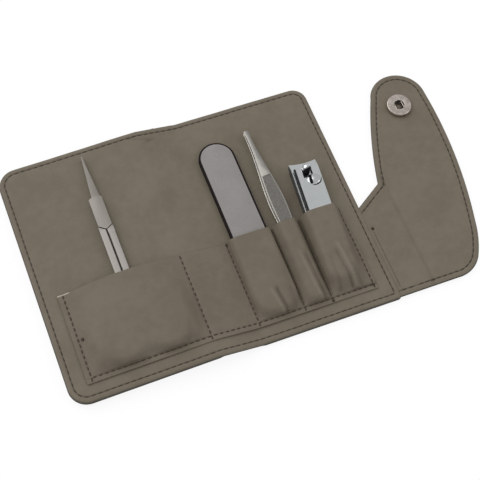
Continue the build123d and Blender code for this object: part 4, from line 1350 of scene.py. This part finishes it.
cover_tones = colour(112, 106, 94), colour(105, 99, 88), colour(118, 112, 100)
lining_tones = colour(118, 109, 94), colour(111, 102, 87), colour(125, 116, 101)
pocket_tones = colour(115, 106, 92), colour(108, 99, 85), colour(122, 113, 99)
# The outer leather takes the strongest painted shade, along the lower side of its rim.
cover_leather = leather("taupe outer leather", cover_tones, 0.9, 1.2, colour(40, 35, 30))
lining_leather = leather("taupe lining leather", lining_tones, 0.55)
pocket_leather = leather("taupe pocket leather", pocket_tones, 0.6)
print("nodes in one leather:", len(cover_leather.tree.nodes))

# %% Raw cut edge
cut_edge = Finish("raw cut edge", Roughness=0.85, Specular_IOR_Level=0.2)
fibres = cut_edge.noise(2600, 3, 0.6)
cut_edge.set("Base Color", cut_edge.mix(fibres, colour(112, 105, 93), colour(140, 134, 121)))
cut_edge.bump(fibres, 0.4, 0.1)
print("finish:", cut_edge.material.name)

# %% [markdown]
# ## Thread
# The thread is a dark brown twist with little gloss. A fine noise, pressed in and darkened, breaks
# up its tone as the strands do, which is all that shows of them at this size.

# %% Thread finish
thread_finish = Finish("dark brown thread", Roughness=0.6, Specular_IOR_Level=0.3)
twist = thread_finish.noise(3200, 2, 0.5)
thread_finish.set("Base Color", thread_finish.mix(twist, colour(48, 40, 33), colour(84, 73, 62)))
thread_finish.bump(twist, 0.5, 0.1)
print("finish:", thread_finish.material.name)

# %% [markdown]
# ## Steel, chrome and grit
# The scissors are satin ground along their length, the tweezers are brushed with a matt grip, the
# clippers are polished and chromed, the file is printed with fine grit on a black core, and the
# press-stud is a warm antiqued nickel. Each has its own scratch or grain direction, because that
# is what tells one steel from another when they lie side by side. The scissors' tone also changes
# along them, from bright shanks over the body to darker blades.

# %% Satin steel of the scissors
satin = Finish("satin ground steel", Metallic=1.0, Roughness=0.6)
satin_marks = satin.noise(900, 3, 0.6, satin.stretched(1, 0.06, 1))
up_the_blade = satin.node("ShaderNodeSeparateXYZ", {}, {0: satin.place}, 1)
shank_tone = satin.mix(satin_marks, colour(160, 155, 149), colour(188, 183, 177))
body_tone = satin.mix(satin_marks, colour(146, 141, 134), colour(168, 163, 156))
blade_tone = satin.mix(satin_marks, colour(132, 127, 120), colour(154, 149, 142))
satin_tone = satin.mix(up_the_blade.between(12.0 * MM, 14.5 * MM), shank_tone, body_tone)
satin.set("Base Color", satin.mix(up_the_blade.between(27.5 * MM, 30.0 * MM), satin_tone, blade_tone))
satin.set("Roughness", 0.53 + 0.14 * satin_marks)
satin.bump(satin_marks, 0.2, 0.03)
print("finish:", satin.material.name)

# %% Brushed steel of the tweezers
grip_steel = Finish("brushed steel with a matt grip", Metallic=1.0, Roughness=0.35)
grip_marks = grip_steel.noise(1100, 3, 0.6, grip_steel.stretched(1, 0.05, 1))
grip_zone = grip_steel.mark("grip")
grip_grains = grip_steel.noise(2600, 2, 0.6)
plain_steel = grip_steel.mix(grip_marks, colour(148, 145, 139), colour(170, 167, 161))
matt_steel = grip_steel.mix(grip_grains.between(0.3, 0.7), colour(116, 113, 108), colour(142, 139, 134))
grip_tone = grip_steel.mix(grip_zone, plain_steel, matt_steel)
# The marked left edges get a painted highlight.
grip_steel.set("Base Color", grip_steel.mix(grip_steel.mark("painted_light"), grip_tone, colour(226, 222, 215)))
grip_steel.set("Roughness", 0.34 + 0.26 * grip_zone + 0.08 * grip_marks)
grip_steel.bump(grip_marks, 0.2, 0.03)
print("finish:", grip_steel.material.name)

# %% Chrome of the clippers and nickel of the press-stud
chrome = Finish("polished chrome", Metallic=1.0, Roughness=0.1)
chrome_haze = chrome.noise(260, 3, 0.5)
chrome_rubs = chrome.noise(1600, 2, 0.6, chrome.stretched(1, 0.08, 1))
chrome_shade = chrome.mark("painted_light")
bright = chrome.mix(chrome_haze, colour(222, 226, 225), colour(236, 239, 238))
# The marked faces get painted dark reflections and painted shade.
chrome.set("Base Color", chrome.mix(chrome_shade, bright, colour(34, 34, 36)))
chrome.set("Roughness", 0.09 + 0.10 * chrome_rubs + 0.5 * chrome_shade)
chrome.bump(chrome_haze, 0.08, 0.02)

nickel = Finish("antiqued nickel", Metallic=1.0, Roughness=0.3)
nickel_haze = nickel.noise(420, 4, 0.6)
worn = nickel.mix(nickel_haze.between(0.35, 0.65), colour(192, 181, 172), colour(218, 208, 199))
# Painted shade inside the socket and cap, where the faces are marked.
nickel.set("Base Color", nickel.mix(nickel.mark("painted_light"), worn, colour(34, 27, 23)))
nickel.set("Roughness", 0.24 + 0.16 * nickel_haze)
nickel.bump(nickel_haze, 0.12, 0.03)
print("finishes:", chrome.material.name, "and", nickel.material.name)


# %% Grit and core of the file, and the boards
def grit(name, base, dark, scale, relief):
    """Abrasive grains bound to a surface."""
    finish = Finish(name, Roughness=0.78, Specular_IOR_Level=0.45)
    cells = {"Vector": finish.place, "Scale": scale}
    grains = finish.node("ShaderNodeTexVoronoi", {"feature": "F1"}, cells)
    haze = finish.noise(120, 3, 0.5)
    finish.set("Base Color", finish.mix((grains * 0.7 + haze * 0.5).between(0.2, 0.9), base, dark))
    finish.bump(1 - grains, relief, 0.08)
    return finish


fine_grit = grit("fine grey grit", colour(157, 153, 150), colour(139, 135, 133), 4200.0, 0.35)
coarse_grit = grit("coarse grey grit", colour(128, 125, 124), colour(98, 95, 94), 2400.0, 0.6)
black_core = Finish("black file core", Roughness=0.75, Specular_IOR_Level=0.12)
core_grain = black_core.noise(1500, 3, 0.6)
black_core.set("Base Color", black_core.mix(core_grain, colour(22, 18, 18), colour(40, 34, 33)))
black_core.bump(core_grain, 0.2, 0.05)
card = Finish("grey board", Roughness=0.9)
card_fibres = card.noise(900, 4, 0.6, card.stretched(1, 0.3, 1))
card.set("Base Color", card.mix(card_fibres, colour(122, 112, 98), colour(150, 140, 124)))
card.bump(card_fibres, 0.3, 0.1)
print("finishes:", fine_grit.material.name, "and", coarse_grit.material.name)

# %% [markdown]
# ## Dressing the pieces
# Every piece gets its finish, and the measured nodes that it stands for are hidden.

# %% Finishes, and the measured nodes that each piece stands for
flap_rise_bend = bend_ends(back_edge, 0.9, 1.6, flap_face)
flap_fold_bend = bend_ends(crease_u, 1.8, 1.8, flap_face)
halves = {-1: ("front_half", "spine", front_bend), 1: ("spine", "back_half", back_bend)}


def bending(piece, bodies, finish, slot, *nodes):
    """Finish a piece and hide the measured nodes that it stands for."""
    if finish:
        finish.on(piece)
    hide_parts(*nodes)
    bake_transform(piece)


for side, half in ((-1, "front"), (1, "back")):
    bodies, strip = halves[side], strips[side]
    pocket_leather.on(strip)
    strip.data.materials.append(cut_edge.material)
    thicken(strip, strip_leather, rim_material=1)
    smooth(strip, 60)
    bending(strip, bodies, None, "pocket_leather", f"{half}_pocket_leather", "spine_pocket_leather")
    bending(linings[side], bodies, lining_leather, "lining_leather", f"{half}_lining", "spine_lining")
    bending(covers[side], bodies, cover_leather, "outer_leather", f"{half}_outer_cover", "spine_outer_cover")
    bending(edge_thread[side], bodies, thread_finish, "thread", f"{half}_edge_thread", "spine_thread")
    bending(strip_thread[side], bodies, thread_finish, "thread", f"{half}_pocket_thread", "spine_thread")

for part, node, bodies, root in (
    ("neck", "flap_gusset", ("back_half", "flap_gusset", flap_rise_bend), ["flap_root"]),
    ("tongue", "flap", ("flap_gusset", "flap", flap_fold_bend), []),
):
    bending(flap_linings[part], bodies, lining_leather, "lining_leather", f"{node}_lining", *root)
    bending(flap_covers[part], bodies, cover_leather, "outer_leather", f"{node}_cover", *root)
    bending(flap_thread[part], bodies, thread_finish, "thread", f"{node}_thread")

# %% The flat size of each sheet
# The size that each piece of leather was cut to, in millimetres, and its area where the cut is
# not a rectangle. The strip is cut wider than the case, by what its bulges take up.
sheets = (
    (linings[-1], (70.5, 109.2), None, "front_board"),
    (linings[1], (70.7, 109.2), None, "back_board"),
    (covers[-1], (74.6, 117.8), None, "front_board"),
    (covers[1], (75.0, 117.8), None, "back_board"),
    (strips[-1], (67.6, 40.0), None, "front_lining_sheet"),
    (strips[1], (79.8, 40.0), None, "back_lining_sheet"),
    (flap_linings["neck"], (13.7, 48.7), 580, "flap_neck_outer_leather"),
    (flap_covers["neck"], (13.7, 52.0), 660, "flap_neck_lining"),
    (flap_linings["tongue"], (44.5, 101.7), 3430, "flap_tongue_outer_leather"),
    (flap_covers["tongue"], (48.7, 106.2), 4010, "flap_tongue_lining"),
)
for sheet, flat, area, under in sheets:
    cut = (flat[0] * MM, flat[1] * MM)
    area and area * MM * MM
print("sheets of leather:", len(sheets))

# %% Finish the tools, the press-stud and the boards
finish_of = {
    "satin_steel": satin,
    "brushed_steel": grip_steel,
    "chrome_steel": chrome,
    "file_core": black_core,
    "fine_abrasive": fine_grit,
    "coarse_abrasive": coarse_grit,
    "snap_metal": nickel,
}
for name, piece in steel.items():
    finish_of[steel_slots[name]].on(piece)
nickel.on(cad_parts["snap_spring"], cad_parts["snap_eyelet"])
card.on(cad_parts["front_board"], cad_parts["back_board"])
# The strip of painted shadow along the scissors' crossing takes the black core finish.
black_core.on(crossing)

# %% [markdown]
# ## Table, light and camera
# The case lies on a plain white table. One big soft lamp stands high behind it on the left, a
# weaker one fills in from the right, and a pale sky gives the rest, so that a colour shows about
# as it is written. The table is lifted a little towards white for the camera and in reflections,
# and keeps the soft shadow.

# %% Floor
bpy.ops.object.select_all(action="DESELECT")
bpy.ops.mesh.primitive_plane_add(size=6.0, location=(0, 0, 0))
floor = bpy.context.object
floor.name = "floor"
floor_finish = Finish("white table", Roughness=0.9, Specular_IOR_Level=0.1)
floor_finish.set("Base Color", colour(250, 250, 250))
glow = floor_finish.node("ShaderNodeEmission", {}, {"Color": (1, 1, 1, 1), "Strength": 1.04})
in_camera = floor_finish.node("ShaderNodeLightPath", {}, {}, "Is Camera Ray")
glossy = floor_finish.node("ShaderNodeLightPath", {}, {}, "Is Glossy Ray")
plain = Flow(floor_finish, floor_finish.shader.outputs[0])
lifted = floor_finish.node("ShaderNodeMixShader", {}, {0: in_camera * 0.84 + glossy * 0.3, 1: plain, 2: glow})
floor_finish.feed(floor_finish.tree.nodes["Material Output"].inputs["Surface"], lifted)
floor_finish.on(floor)
print("floor:", floor.dimensions[:2], "metres")


# %% Lamps and sky
def lamp(name, place, target, size, power):
    """A square soft lamp at a place, facing a target."""
    bpy.ops.object.select_all(action="DESELECT")
    bpy.ops.object.light_add(type="AREA", location=place)
    made = bpy.context.object
    made.name = name
    made.data.shape = "SQUARE"
    made.data.size = size
    made.data.energy = power
    made.rotation_euler = (Vector(target) - Vector(place)).to_track_quat("-Z", "Y").to_euler()
    print(name, "at", place, "with", power, "watts")


lamp("key_lamp", (-0.55, 0.75, 1.0), (0, 0, 0), 1.5, 9.8)
lamp("fill_lamp", (0.9, -0.5, 0.9), (0, 0, 0), 0.9, 2.5)
sky_light = (0.52, 0.52, 0.53, 1)
world = bpy.data.worlds.new("pale sky")
bpy.context.scene.world = world
world.use_nodes = True
sky = world.node_tree.nodes["Background"]
sky.inputs["Strength"].default_value = 1.0
paths = world.node_tree.nodes.new("ShaderNodeLightPath")
seen = world.node_tree.nodes.new("ShaderNodeMix")
seen.data_type = "RGBA"
seen.inputs[6].default_value = sky_light
seen.inputs[7].default_value = (1, 1, 1, 1)
world.node_tree.links.new(paths.outputs["Is Camera Ray"], seen.inputs[0])
world.node_tree.links.new(seen.outputs[2], sky.inputs["Color"])
print("sky light:", sky_light[:3])

# %% Camera
camera_data = bpy.data.cameras.new("camera")
camera = bpy.data.objects.new("camera", camera_data)
bpy.context.scene.collection.objects.link(camera)
camera_data.sensor_width = 36.0
camera_data.lens = 86.99
camera_data.clip_start = 0.01
# Each row is one axis of the room: how far the camera's right, its up and its back point along
# that axis, and then the camera's place on it, in metres.
camera.matrix_world = Matrix(
    (
        (0.9300, 0.2985, -0.2142, -0.12741),
        (-0.3619, 0.8451, -0.3934, -0.19945),
        (0.0636, 0.4434, 0.8941, 0.43784),
        (0, 0, 0, 1),
    )
)
bpy.context.scene.camera = camera
bpy.context.scene.view_settings.view_transform = "Standard"
print("camera at", camera.matrix_world.translation[:], "with a lens of", camera_data.lens, "mm")
